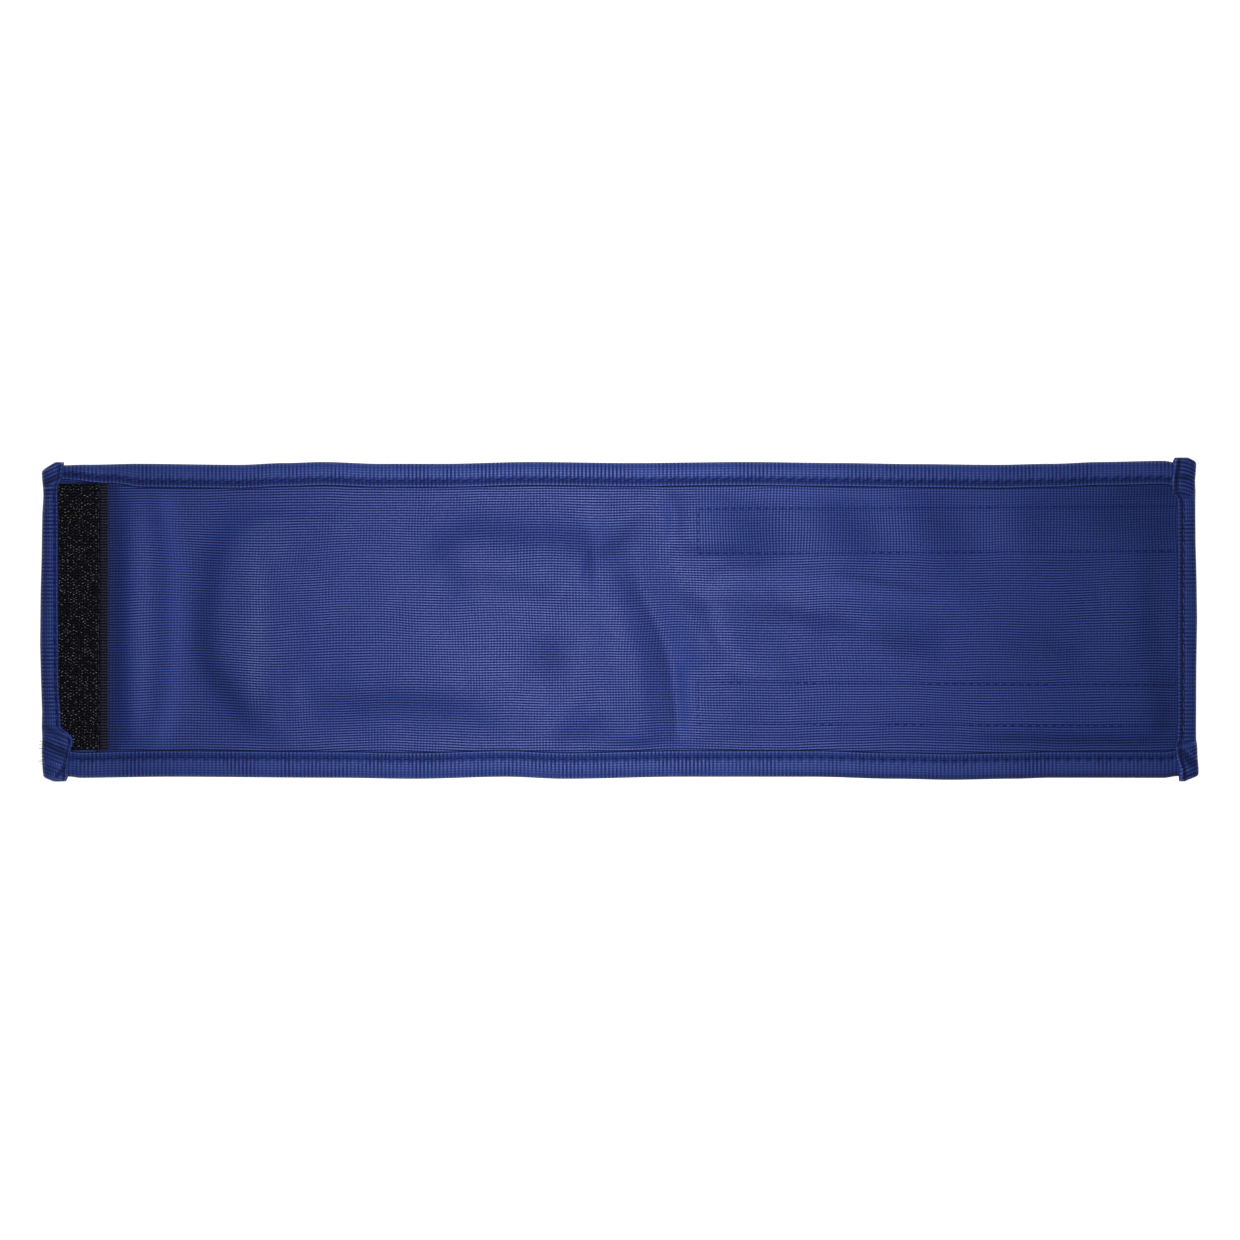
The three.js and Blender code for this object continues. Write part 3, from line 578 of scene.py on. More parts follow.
def folded_binding(name, run, outer, width, place, heights, roof_wall, pocket, seam, edge_shade,
                   crease_shade=None):
    """Cloth folded round an edge, lofted through a section at each place of run.

    place(run, distance, outer) gives x and y at a distance inward of the fold, heights(x, y, run) the
    underside and the roof there and how far along the ribs it lies. edge_shade is painted shade on the
    fold, place by place, and crease_shade(x, y) gives painted shade and highlight along the creases."""
    count = len(run)
    steps = np.array(NEAR_LIP)
    squeeze = np.clip((width - NOSE_RADIUS - 0.2) / steps[-1], 0.1, 1)
    near = width[:, None] - steps[None] * squeeze[:, None]
    share = np.linspace(0, 1, MIDDLE_STEPS + 1)[1:]
    middle = near[:, -1:] + (NOSE_RADIUS - near[:, -1:]) * share[None]
    angles = np.linspace(0, math.pi, NOSE_STEPS + 2)[1:-1]
    nose = np.tile(NOSE_RADIUS * (1 - np.sin(angles)), (count, 1))
    under_share = np.linspace(0, 1, UNDER_STEPS)
    under = NOSE_RADIUS + (width[:, None] - NOSE_RADIUS) * under_share[None]
    distance = np.concatenate([near, middle, nose, under], 1)
    turn = np.concatenate([
        np.zeros(near.shape[1] + middle.shape[1]), angles, np.full(UNDER_STEPS, math.pi),
    ])
    run_grid = np.tile(run[:, None], (1, distance.shape[1]))
    x, y = place(run_grid, distance, outer[:, None])
    base, roof, phase = heights(x, y, run_grid)
    blend = (1 + np.cos(turn))[None] / 2
    z = base + (roof - base) * blend

    from_lip = width[:, None] - distance
    offset = from_lip - seam.distance
    pull = 0.5 + 0.5 * np.cos(2 * math.pi * (run_grid - seam.slant * offset) / seam.pitch)
    notch = seam.tightness * np.exp(-(((offset - SEAM_SPREAD) / SEAM_SPREAD) ** 2))
    notch = notch * smoothstep(pull, 0.3, 0.85)
    line = np.exp(-((offset / SEAM_SPREAD) ** 2))
    groove = np.maximum(0.7 * line, notch)
    past_seam = fade(offset, -0.4, 0.9)
    puff_share = np.clip(offset / np.maximum(width[:, None] - seam.distance - SEAM_SPREAD, 1), 0, 1)
    puff = np.sin(math.pi * puff_share) ** 0.8
    on_top = np.where(turn < 0.01, 1.0, np.where(turn < math.pi / 2, np.cos(turn), 0))[None]
    z = z + on_top * (seam.rise * puff - SEAM_DEPTH * groove - MARGIN_DIP * past_seam)
    on_base = (turn > math.pi - 0.01)[None]
    z = z + np.where(on_base, 0.5 * SEAM_DEPTH * groove, 0)

    rib = 0.5 + 0.5 * np.cos(2 * math.pi * phase / RIB_PITCH)
    rib_cut = RIB_DEPTH * (1 - rib) * smoothstep(from_lip, 0.2, 0.9)
    distance = distance + rib_cut * np.sin(turn)[None]
    z = z - rib_cut * np.cos(turn)[None]
    x, y = place(run_grid, distance, outer[:, None])

    fold = np.sin(turn)[None] * np.ones_like(distance)
    across = np.cumsum(np.hypot(np.diff(distance, axis=1, prepend=distance[:, :1]),
                                np.diff(z, axis=1, prepend=z[:, :1])), 1)
    # Painted shade in the seam's groove and notches, in the margin, on the fold and in the creases,
    # and a painted highlight along the lip; the groove is shaded on the underside too
    margin = seam.margin * smoothstep(from_lip, 0.4, 0.8) * fade(offset, -0.3, 0.4)
    rim = -LIP_SHEEN * fade(from_lip, 0.25, 0.45)
    folded = edge_shade[:, None] * fade(distance, 0.8, 2.4)
    creased = crease_shade(x, y) if crease_shade else 0
    darkened = seam.darkness + np.maximum(groove, margin) + rim + folded + creased
    shade = on_top * darkened + 0.6 * on_base * groove

    # Lower lip, pocket and upper lip close the section
    deep = width - (width - WALL) * pocket
    base_z, roof_z = z[:, -1], z[:, 0]
    inner = np.array([
        (width + 0.05, base_z + 0.3 * WALL),
        (width + 0.03, base_z + 0.75 * WALL),
        (width - 0.2, base_z + WALL),
        (deep, base[:, -1] + WALL),
        (deep, roof[:, 0] - roof_wall),
        (width - 0.25, roof_z - roof_wall),
        (width + LIP_GAP, roof_z - 0.9 * WALL),
        (width + 0.14, roof_z - 0.35 * WALL),
        (width + 0.06, roof_z - 0.12 * WALL),
    ])
    # The slanted face under the upper lip carries painted shadow of the gap beneath it
    inner_shade = [0, 0, 0, 0, 0, 0, 1, 1, 0]
    inner_distance, inner_z = inner[:, 0].T, inner[:, 1].T
    inner_run = np.tile(run[:, None], (1, len(inner)))
    inner_x, inner_y = place(inner_run, inner_distance, outer[:, None])

    def joined(*pairs):
        return np.stack([np.concatenate(pair, 1) for pair in pairs], -1)

    def carried_on(values):
        return values, np.tile(values[:, -1:], (1, len(inner)))

    points = joined((x, inner_x), (y, inner_y), (z, inner_z))
    cloth = joined(carried_on(phase), carried_on(across), (fold, np.zeros_like(inner_x)))
    shade = np.concatenate([shade, np.tile(inner_shade, (count, 1))], 1)

    around = points.shape[1]
    index = np.arange(count * around).reshape(count, around)
    following = np.roll(index, -1, axis=1)
    sides = np.stack([index[:-1], following[:-1], following[1:], index[1:]], -1).reshape(-1, 4)
    faces = sides.tolist() + [index[0, ::-1].tolist(), index[-1].tolist()]
    if signed_volume(points.reshape(-1, 3), sides) < 0:
        faces = [face[::-1] for face in faces]
    return make_mesh(name, points.reshape(-1, 3), faces, cloth.reshape(-1, 3), shade.ravel())


def signed_volume(points, quads):
    """Six times the volume inside a band of quads, positive where the faces point outwards."""
    a, b, c, d = (points[quads[:, k]] for k in range(4))
    first = np.einsum("ij,ij->i", a, np.cross(b, c))
    second = np.einsum("ij,ij->i", a, np.cross(c, d))
    return float((first + second).sum())


def soften(values, sigma_steps):
    """The same row of values with its corners eased."""
    reach = int(3 * sigma_steps)
    kernel = np.exp(-0.5 * (np.arange(-reach, reach + 1) / sigma_steps) ** 2)
    padded = np.pad(values, reach, mode="edge")
    return np.convolve(padded, kernel / kernel.sum(), mode="valid")


def long_binding(name, edge, widths, inward, seam, dark_from):
    """Binding round a long edge; inward is -1 where it folds towards smaller Y. Painted shade on its
    fold sets in from the place dark_from on. Also gives the route of its stitches on each side."""
    start = edge[0][0]
    run = np.linspace(start, PANEL_END, round((PANEL_END - start) / STATION_STEP) + 1)
    outer = edge_at(edge, run)
    width = edge_at(widths, run)

    def place(x, distance, fold):
        return x, fold + inward * distance

    def heights(x, y, _run):
        under = panel_under(x, y)
        return under - LAYER, under + KNIT + LAYER, x

    ones = np.ones_like(run)
    edge_shade = FOLD_PAINTED_SHADE * smoothstep(run, dark_from, dark_from + FOLD_DARK_RUN)
    obj = folded_binding(name, run, outer, width, place, heights, WALL, ones, seam, edge_shade)

    def seam_route(side):
        y = outer + inward * (width - seam.distance)
        under = panel_under(run, y)
        z = under + KNIT + LAYER - STITCH_SUNK if side > 0 else under - LAYER + STITCH_SUNK
        return np.stack([run, y, z], 1)

    return obj, seam_route


def rib_phase(corners, x, y):
    """Where a point lies across the ribs of an end binding, which tilt in the tucked corners."""
    phase = y.copy()
    for corner_x, corner_y, reach, tilt, arch in corners:
        near = fade(np.abs(y - corner_y), reach * 0.6, reach)
        phase = phase + near * (tilt * (x - corner_x) + arch * (x - corner_x) ** 2)
    return phase


def end_binding(name, table, hooks_under, corners, seam):
    """Binding round an end, over the long bindings, with its corner tabs tucked, and the route of
    its stitches on each side."""
    columns = np.array(table, float).T
    low, high = columns[0][0], columns[0][-1]
    run = np.linspace(low, high, round((high - low) / STATION_STEP) + 1)
    outer, lip, lift, tab, pocket = (soften(np.interp(run, columns[0], c), 1.2) for c in columns[1:])
    inward = 1 if lip.mean() > outer.mean() else -1
    width = np.abs(lip - outer)

    def place(y, distance, fold):
        return fold + inward * distance, y

    def heights(x, y, at):
        over_edge = fade(HALF_WIDTH - np.abs(at), WIDEST_BINDING + 1, WIDEST_BINDING + 5)
        between = 1 if hooks_under else over_edge
        stack = KNIT + CLEARANCE + LAYER * between + np.interp(at, run, lift)
        roof = panel_under(x, y) + stack + WALL + np.interp(at, run, tab) + creases_at(x, y)
        return np.zeros_like(x), roof, rib_phase(corners, x, y)

    # Painted shade in the valleys of the creases and painted highlight on their ridges
    def crease_shade(x, y):
        return -CREASE_SHADE * creases_at(x, y)

    wall = WALL + np.maximum(tab, 0)
    plain = np.zeros_like(run)
    obj = folded_binding(name, run, outer, width, place, heights, wall, pocket, seam, plain,
                         crease_shade)

    def seam_route(side):
        between_tabs = np.abs(run) < STITCHED_HALF
        y = run[between_tabs]
        x = (outer + inward * (width - seam.distance))[between_tabs]
        _base, roof, _phase = heights(x, y, y)
        z = roof - STITCH_SUNK if side > 0 else np.full_like(y, STITCH_SUNK)
        return np.stack([x, y, z], 1)

    return obj, seam_route


# Strands: stitches, hooks, pile and frays, all made by Geometry Nodes. Their inputs, by kind

STRAND_INPUTS = {
    "Vector": ("Start", "Start handle", "End handle", "End"),
    "Int": ("Steps", "Sides", "Seed"),
    "Float": ("Radius", "Taper", "Pitch", "Up", "Turn low", "Turn high", "Size low", "Size high"),
    "Material": ("Material",),
}


def strand_tree(name, follows_path):
    """Bent strands, either every pitch along the mesh's edges or one at each of its vertices, whose
    attribute "tangent" they follow."""
    tree = bpy.data.node_groups.new(name, "GeometryNodeTree")
    tree.interface.new_socket("Geometry", in_out="INPUT", socket_type="NodeSocketGeometry")
    for kind, labels in STRAND_INPUTS.items():
        for label in labels:
            tree.interface.new_socket(label, in_out="INPUT", socket_type=f"NodeSocket{kind}")
    tree.interface.new_socket("Geometry", in_out="OUTPUT", socket_type="NodeSocketGeometry")
    given = put(tree, "NodeGroupInput").outputs
    spine = put(tree, "GeometryNodeCurvePrimitiveBezierSegment", {
        "Resolution": given["Steps"], "Start": given["Start"], "Start Handle": given["Start handle"],
        "End Handle": given["End handle"], "End": given["End"],
    }, mode="POSITION")
    reached = put(tree, "GeometryNodeSplineParameter").outputs["Factor"]
    thinner = put(tree, "ShaderNodeMath", [reached, given["Taper"]], operation="MULTIPLY")
    left = put(tree, "ShaderNodeMath", [1.0, thinner], operation="SUBTRACT")
    tapered = put(tree, "GeometryNodeSetCurveRadius", {"Curve": spine, "Radius": left})
    ring = put(tree, "GeometryNodeCurvePrimitiveCircle", {
        "Resolution": given["Sides"], "Radius": given["Radius"],
    }, mode="RADIUS")
    strand = put(tree, "GeometryNodeCurveToMesh", {
        "Curve": tapered, "Profile Curve": ring.outputs["Curve"], "Scale": left, "Fill Caps": True,
    })
    if follows_path:
        path = put(tree, "GeometryNodeMeshToCurve", {"Mesh": given["Geometry"]})
        spots = put(tree, "GeometryNodeCurveToPoints", {
            "Curve": path, "Length": given["Pitch"],
        }, mode="LENGTH").outputs
        points, tangent = spots["Points"], spots["Tangent"]
    else:
        points = given["Geometry"]
        tangent = put(tree, "GeometryNodeInputNamedAttribute", {"Name": "tangent"},
                      data_type="FLOAT_VECTOR").outputs["Attribute"]
    level = put(tree, "ShaderNodeCombineXYZ", {"Z": given["Up"]})
    along = put(tree, "FunctionNodeAlignRotationToVector", {"Vector": tangent}, axis="X")
    upright = put(tree, "FunctionNodeAlignRotationToVector", {
        "Rotation": along, "Vector": level,
    }, axis="Z", pivot_axis="X")
    angle = put(tree, "FunctionNodeRandomValue", {
        2: given["Turn low"], 3: given["Turn high"], "Seed": given["Seed"],
    }, data_type="FLOAT")
    turn = put(tree, "ShaderNodeCombineXYZ", {"Z": angle})
    spin = put(tree, "FunctionNodeEulerToRotation", [turn])
    facing = put(tree, "FunctionNodeRotateRotation", [upright, spin], rotation_space="LOCAL")
    other_seed = put(tree, "ShaderNodeMath", [given["Seed"], 1.0], operation="ADD")
    size = put(tree, "FunctionNodeRandomValue", {
        2: given["Size low"], 3: given["Size high"], "Seed": other_seed,
    }, data_type="FLOAT")
    placed = put(tree, "GeometryNodeInstanceOnPoints", {
        "Points": points, "Instance": strand, "Rotation": facing, "Scale": size,
    })
    real = put(tree, "GeometryNodeRealizeInstances", [placed])
    smooth = put(tree, "GeometryNodeSetShadeSmooth", {"Geometry": real})
    finished = put(tree, "GeometryNodeSetMaterial", {
        "Geometry": smooth, "Material": given["Material"],
    })
    put(tree, "NodeGroupOutput", [finished])
    return tree


def grow_strands(name, tree, points, edges, tangents, values):
    """Piece of realized strands from the tree, riding on the band. Lengths in values are in
    millimetres."""
    mesh = bpy.data.meshes.new(name)
    mesh.from_pydata((np.asarray(points) * MM).tolist(), edges, [])
    if tangents is not None:
        put_values(mesh, "tangent", "FLOAT_VECTOR", "vector", tangents)
    obj = add_object(name, mesh)
    modifier = obj.modifiers.new("Strands", "NODES")
    modifier.node_group = tree
    lengths = ("Start", "Start handle", "End handle", "End", "Radius", "Pitch")
    for item in tree.interface.items_tree:
        if item.in_out == "INPUT" and item.name in values:
            value = values[item.name]
            if item.name in lengths:
                value = tuple(v * MM for v in value) if isinstance(value, tuple) else value * MM
            modifier[item.identifier] = value
    depsgraph = bpy.context.evaluated_depsgraph_get()
    grown = bpy.data.meshes.new_from_object(obj.evaluated_get(depsgraph), depsgraph=depsgraph)
    obj.modifiers.clear()
    obj.data = grown
    grown.name = name
    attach(obj, "root")
    return obj


PATH_STRANDS = strand_tree("Stitches along a seam", True)
POINT_STRANDS = strand_tree("Strands at points", False)


def stitch_run(name, routes, up, pitch, reach, radius, rise, slant, seed, material):
    """Stitches every pitch along routes, each a row of points; up is 1 above and -1 below. Each
    reaches as far to both sides, stands up by its rise and is turned by its slant."""
    points, edges = [], []
    for route in routes:
        first = len(points)
        points.extend(route)
        edges.extend((first + k, first + k + 1) for k in range(len(route) - 1))
    values = {
        "Start": (-reach, 0.0, -0.3), "Start handle": (-reach * 0.8, 0.0, rise),
        "End handle": (reach * 0.8, 0.0, rise), "End": (reach, 0.0, -0.3),
        "Steps": 7, "Sides": 6, "Radius": radius, "Pitch": pitch, "Up": float(up),
        "Turn low": slant - 0.06, "Turn high": slant + 0.06, "Size low": 0.92, "Size high": 1.06,
        "Seed": seed, "Material": material,
    }
    return grow_strands(name, PATH_STRANDS, points, edges, None, values)


# Materials

def new_material(name):
    """Empty material and its tree of nodes."""
    material = bpy.data.materials.new(name)
    material.use_nodes = True
    material.node_tree.nodes.clear()
    return material, material.node_tree


def maths(tree, operation, *values, **settings):
    """One step of arithmetic on values or nodes."""
    return put(tree, "ShaderNodeMath", values, operation=operation, **settings)


def ranged(tree, value, given, wanted=(0.0, 1.0), **settings):
    """The value moved from the range given to the range wanted, each low and high."""
    return put(tree, "ShaderNodeMapRange", {
        "Value": value, "From Min": given[0], "From Max": given[1], "To Min": wanted[0],
        "To Max": wanted[1],
    }, **settings)


def noise(tree, place, scale, detail):
    """Soft unevenness; scale is how many patches there are to a unit of length."""
    return put(tree, "ShaderNodeTexNoise", {"Vector": place, "Scale": scale, "Detail": detail})


def own_place(tree):
    """Place on the band in metres."""
    return put(tree, "ShaderNodeTexCoord").outputs["Object"]


def place_in_mm(tree):
    """Place on the band in millimetres."""
    return put(tree, "ShaderNodeVectorMath", {0: own_place(tree), "Scale": 1 / MM},
               operation="SCALE")


def knit_loops(tree, x, y, wale_pitch, course_pitch, wale_share, course_share):
    """Mask of knitted loops, 1 on the yarn and 0 in the grooves, from two lengths in millimetres.
    The shares say how much the columns and the rows of loops stand out, from 0 to 1."""
    masks = []
    for length, pitch, share in ((x, wale_pitch, wale_share), (y, course_pitch, course_share)):
        wave = maths(tree, "COSINE", maths(tree, "MULTIPLY", length, 2 * math.pi / pitch))
        mask = ranged(tree, wave, (-0.4, 0.5), interpolation_type="SMOOTHSTEP")
        masks.append(put(tree, "ShaderNodeMix", {0: share, 2: 1.0, 3: mask}, data_type="FLOAT"))
    return maths(tree, "MULTIPLY", *masks)


def cloth_shader(tree, mask, tone, dark, light, depth, roughness, gloss, pale=KNIT_PAINTED_SHEEN):
    """Principled shader of yarn over grooves with its bump, and its output. The mesh's attribute
    "shade" darkens and dulls it: on the knit and bindings that is painted shade in seams, creases and
    gaps. Where shade is below 0 it lightens the colour towards pale, which on the knit and bindings is
    a painted highlight."""
    shade = put(tree, "ShaderNodeAttribute", attribute_name="shade").outputs["Fac"]
    left = ranged(tree, shade, (-1.0, 1.0), (1.55, 0.45))
    # Below 0 the shade mixes the colour towards pale: a painted highlight on the knit and bindings
    lightening = ranged(tree, shade, (-1.0, 0.0), (0.12, 0.0))
    colour = put(tree, "ShaderNodeMix", {
        0: mask, 6: hex_to_linear(dark), 7: hex_to_linear(light),
    }, data_type="RGBA")
    toned = put(tree, "ShaderNodeVectorMath", {
        0: colour.outputs[2], "Scale": maths(tree, "MULTIPLY", left, tone),
    }, operation="SCALE")
    lightened = put(tree, "ShaderNodeMix", {
        0: lightening, 6: toned, 7: hex_to_linear(pale),
    }, data_type="RGBA")
    bump = put(tree, "ShaderNodeBump", {"Strength": 0.8, "Distance": depth * MM, "Height": mask})
    matt = ranged(tree, mask, (0.0, 1.0), (1.0, roughness))
    duller = ranged(tree, shade, (0.0, 1.0), (0.0, 0.4))
    shader = put(tree, "ShaderNodeBsdfPrincipled", {
        "Base Color": lightened.outputs[2], "Specular IOR Level": gloss, "Normal": bump,
        "Roughness": maths(tree, "ADD", matt, duller, use_clamp=True),
    })
    put(tree, "ShaderNodeOutputMaterial", {"Surface": shader})


def uneven_knit(tree, mm, x, y, wale_pitch, columns, rows, ribbed=None):
    """Loops of uneven tension and the unevenness of their dye. columns and rows are the shares of
    the columns and rows of loops from one patch to another; where ribbed is 1 columns stand out."""
    patches = noise(tree, mm, 0.11, 2.0)
    shares = []
    for ends, over_tape in ((columns, 0.65), (rows, 0.6)):
        share = ranged(tree, patches, (0.38, 0.62), ends)
        if ribbed:
            share = put(tree, "ShaderNodeMix", {0: ribbed, 2: share, 3: over_tape},
                        data_type="FLOAT")
        shares.append(share)
    loops = knit_loops(tree, x, y, wale_pitch, COURSE_PITCH, *shares)
    uneven = noise(tree, mm, 1.7, 1.0)
    tension = ranged(tree, uneven, (0.3, 0.55), (0.85, 1.0))
    return maths(tree, "MULTIPLY", loops, tension), ranged(tree, uneven, (0.4, 0.75), (0.96, 1.1))


def knit_material():
    """Polyester interlock knit, piece dyed navy: small loops in columns with grooves between them
    darkened as painted shade, and a broad soft highlight where the light is overhead."""
    material, tree = new_material("navy_polyester_interlock")
    mm = place_in_mm(tree)
    drift = noise(tree, mm, 0.02, 1.5).outputs["Color"]
    centred = put(tree, "ShaderNodeVectorMath", [drift, (0.5, 0.5, 0.5)], operation="SUBTRACT")
    pulled = put(tree, "ShaderNodeVectorMath", [centred, (5.0, 4.0, 0.0), mm],
                 operation="MULTIPLY_ADD")
    parts = put(tree, "ShaderNodeSeparateXYZ", [pulled]).outputs
    still = put(tree, "ShaderNodeSeparateXYZ", [mm]).outputs
    past_left = ranged(tree, still["X"], (LOOP_LOW[0] - 2, LOOP_LOW[0] + 4))
    past_lower = ranged(tree, still["Y"], (LOOP_LOW[1] - 2, LOOP_LOW[1] + 2))
    over_tape = maths(tree, "MULTIPLY", past_left, past_lower)
    loops, tone = uneven_knit(tree, mm, parts["X"], parts["Y"], WALE_PITCH, columns=(0.2, 0.5),
                              rows=(1.0, 0.85), ribbed=over_tape)
    cloth_shader(tree, loops, tone, KNIT_SHADED_GROOVE, KNIT_YARN, *KNIT_FINISH)
    return material


def binding_material():
    """The same knit cut as a smooth binding: fine loops across the edge, with painted shade round the
    fold and in its seams."""
    material, tree = new_material("navy_knit_binding")
    cloth = put(tree, "ShaderNodeAttribute", attribute_name="cloth_mm")
    parts = put(tree, "ShaderNodeSeparateXYZ", [cloth.outputs["Vector"]]).outputs
    loops, tone = uneven_knit(tree, place_in_mm(tree), parts["X"], parts["Y"], FINE_WALE_PITCH,
                              columns=(0.4, 0.8), rows=(0.5, 0.3))
    # Painted shade round the fold
    painted_fold_shade = ranged(tree, parts["Z"], (0.45, 1.0), (1.0, 0.35), interpolation_type="SMOOTHSTEP")
    darker = maths(tree, "MULTIPLY", painted_fold_shade, tone)
    cloth_shader(tree, loops, darker, KNIT_SHADED_GROOVE, KNIT_YARN, *KNIT_FINISH)
    return material


def tape_material(name, dark, light, rib_pitch):
    """Woven nylon tape, dyed black: fine ribs across the tape, slightly satin."""
    material, tree = new_material(name)
    mm = place_in_mm(tree)
    parts = put(tree, "ShaderNodeSeparateXYZ", [mm]).outputs
    loops = knit_loops(tree, parts["Y"], parts["X"], rib_pitch, course_pitch=0.9, wale_share=1.0,
                       course_share=0.5)
    tone = ranged(tree, noise(tree, mm, 1.2, 2.0), (0.3, 0.7), (0.5, 1.5))
    cloth_shader(tree, loops, tone, dark, light, depth=0.06, roughness=0.6, gloss=0.3, pale=light)
    return material


def hook_material():
    """Stiff moulded monofilament: near black, with a pale colour painted on some hooks at random as
    painted glints.
    """
    material, tree = new_material("black_nylon_monofilament")
    # Painted glints: noise picks the hooks that get the pale colour
    painted_glints = noise(tree, own_place(tree), 750.0, 0.0)
    tone = ranged(tree, painted_glints, (0.44, 0.66), (0.02, 0.9))
    cloth_shader(tree, painted_glints, tone, HOOK_PAINTED_GLINT, HOOK_PAINTED_GLINT, depth=0.02, roughness=0.35, gloss=0.4)
    return material


def strand_material(name, colour, roughness, gloss):
    """Thread or monofilament of one dye lot, its tone a little uneven along its length."""
    material, tree = new_material(name)
    streak = noise(tree, own_place(tree), 900.0, 1.0)
    tone = ranged(tree, streak, (0.3, 0.7), (0.7, 1.3))
    cloth_shader(tree, streak, tone, colour, colour, THREAD_GROOVE, roughness, gloss)
    return material


HOOK_TAPE_NYLON = tape_material("black_nylon_hook_tape", "#020203", "#34344a", SELVAGE_RIB_PITCH)
LOOP_TAPE_NYLON = tape_material("black_nylon_loop_tape", "#08080a", "#202024", 0.9)
NAVY_KNIT = knit_material()
NAVY_BINDING = binding_material()
# Polyester sewing thread, dyed with the cloth
NAVY_THREAD = strand_material("navy_polyester_thread", "#1c2a90", 0.9, 0.2)
# The brighter thread of the right end's seam, which stands out of the cloth
LIGHT_THREAD = strand_material("light_blue_polyester_thread", "#5568c8", 0.6, 0.3)
# Thread worked through the black hook tape, dulled by lint
SLATE_THREAD = strand_material("slate_polyester_thread", "#3c4262", 0.5, 0.3)
HOOK_FILAMENT = hook_material()
# Soft brushed filament of the loop tapes
PILE_FILAMENT = strand_material("black_brushed_nylon_pile", "#141418", 0.7, 0.3)
# Cut yarn ends
FRAYED_YARN = strand_material("navy_frayed_yarn", "#1c2450", 0.7, 0.3)


# Panel

def loop_seam_drift(x, y):
    """How far the outlines have drifted from the middle of the band at x."""
    share = np.clip((x - LOOP_LOW[0]) / (PANEL_END - LOOP_LOW[0]), 0, 1)
    return LOOP_SEAM_DRIFT * share * np.clip(y / 20, -1, 1)


def loop_seam_groove(x, y):
    """How deep the stitched outlines of the loop strips lie in the panel, from 0 to 1."""
    from_end = x - (LOOP_LOW[0] + LOOP_SEAM_INSET)
    level = y - loop_seam_drift(x, y)
    groove = 0
    for lines in LOOP_SEAM_LINES:
        for line in lines:
            along = np.exp(-((level - line) / LOOP_SEAM_SPREAD) ** 2) * (from_end > -0.5)
            groove = np.maximum(groove, along)
        within = (level > lines[0]) & (level < lines[1])
        across = 0.5 * np.exp(-((from_end / LOOP_SEAM_SPREAD) ** 2)) * within
        groove = np.maximum(groove, across)
    return groove


def beside_lips(x, y):
    """Shade of the panel in the gap along the lips of the long bindings."""
    shade = 0
    for side, edge, widths in ((1, UPPER_EDGE, UPPER_BINDING_WIDTH),
                               (-1, LOWER_EDGE, LOWER_BINDING_WIDTH)):
        from_lip = side * edge_at(edge, x) - edge_at(widths, x) - side * y
        shade = np.maximum(shade, fade(from_lip, 0.45, 0.95) * (from_lip > -WIDEST_BINDING))
    return shade


def knit_panel():
    """The knitted panel with its folds, the grooves of the stitched outlines, and its painted shades
    and highlights.
    """
    rows_stops = [(-LIP_BAND[1], PANEL_STEP), (-LIP_BAND[0], LIP_STEP)]
    for line in sorted(line for lines in LOOP_SEAM_LINES for line in lines):
        rows_stops.append((line - LOOP_SEAM_HALF_BAND, PANEL_STEP))
        rows_stops.append((line + LOOP_SEAM_HALF_BAND, FINE_STEP))
    rows_stops.extend([(LIP_BAND[0], PANEL_STEP), (LIP_BAND[1], LIP_STEP)])
    rows_stops.append((HALF_WIDTH - EDGE_INSET, PANEL_STEP))
    rows = spaced(-HALF_WIDTH + EDGE_INSET, rows_stops)
    seam_x = LOOP_LOW[0] + LOOP_SEAM_INSET
    columns = spaced(-PANEL_END, [
        (HOOK_HIGH[0] - 0.3, PANEL_STEP), (HOOK_HIGH[0] + 2, FINE_STEP),
        (seam_x - LOOP_SEAM_HALF_BAND, PANEL_STEP), (seam_x + LOOP_SEAM_HALF_BAND, FINE_STEP),
        (PANEL_END, PANEL_STEP),
    ])

    def place(x, row):
        edge = np.where(row < 0, edge_at(LOWER_EDGE, x), edge_at(UPPER_EDGE, x))
        pull = np.abs(edge) - HALF_WIDTH
        y = row + np.sign(row) * pull * (row / HALF_WIDTH) ** 4
        inside = fade(np.abs(row), HALF_WIDTH - WIDEST_BINDING - 3, HALF_WIDTH - WIDEST_BINDING)
        y = y + loop_seam_drift(x, row) * inside
        bottom = panel_under(x, y)
        groove = loop_seam_groove(x, y)
        top = bottom + KNIT - LOOP_SEAM_DEPTH * groove
        # Painted shadow beside the hook tape and beside the lips, painted shade in the stitched
        # outlines that grows towards the right end, and painted shade and highlight along the strokes
        shadow_beside_tape = 0.7 * fade(np.abs(x - HOOK_HIGH[0]), 2.5, 6.5)
        shade_in_stitches = groove * (0.05 + 0.3 * x / PANEL_END)
        strokes = sum(fold_at(stroke, x, y) for stroke in PAINTED_SHADING_STROKES)
        gaps = np.max([shade_in_stitches, shadow_beside_tape, beside_lips(x, y)], 0)
        shade = np.maximum(strokes, 0) + np.minimum(strokes, 0) * (1 - gaps) + gaps
        return x, y, bottom, top, shade

    obj = sheet_mesh("knit_panel", columns, rows, place)
    dress(obj, NAVY_KNIT, "body_panel")


# Bindings

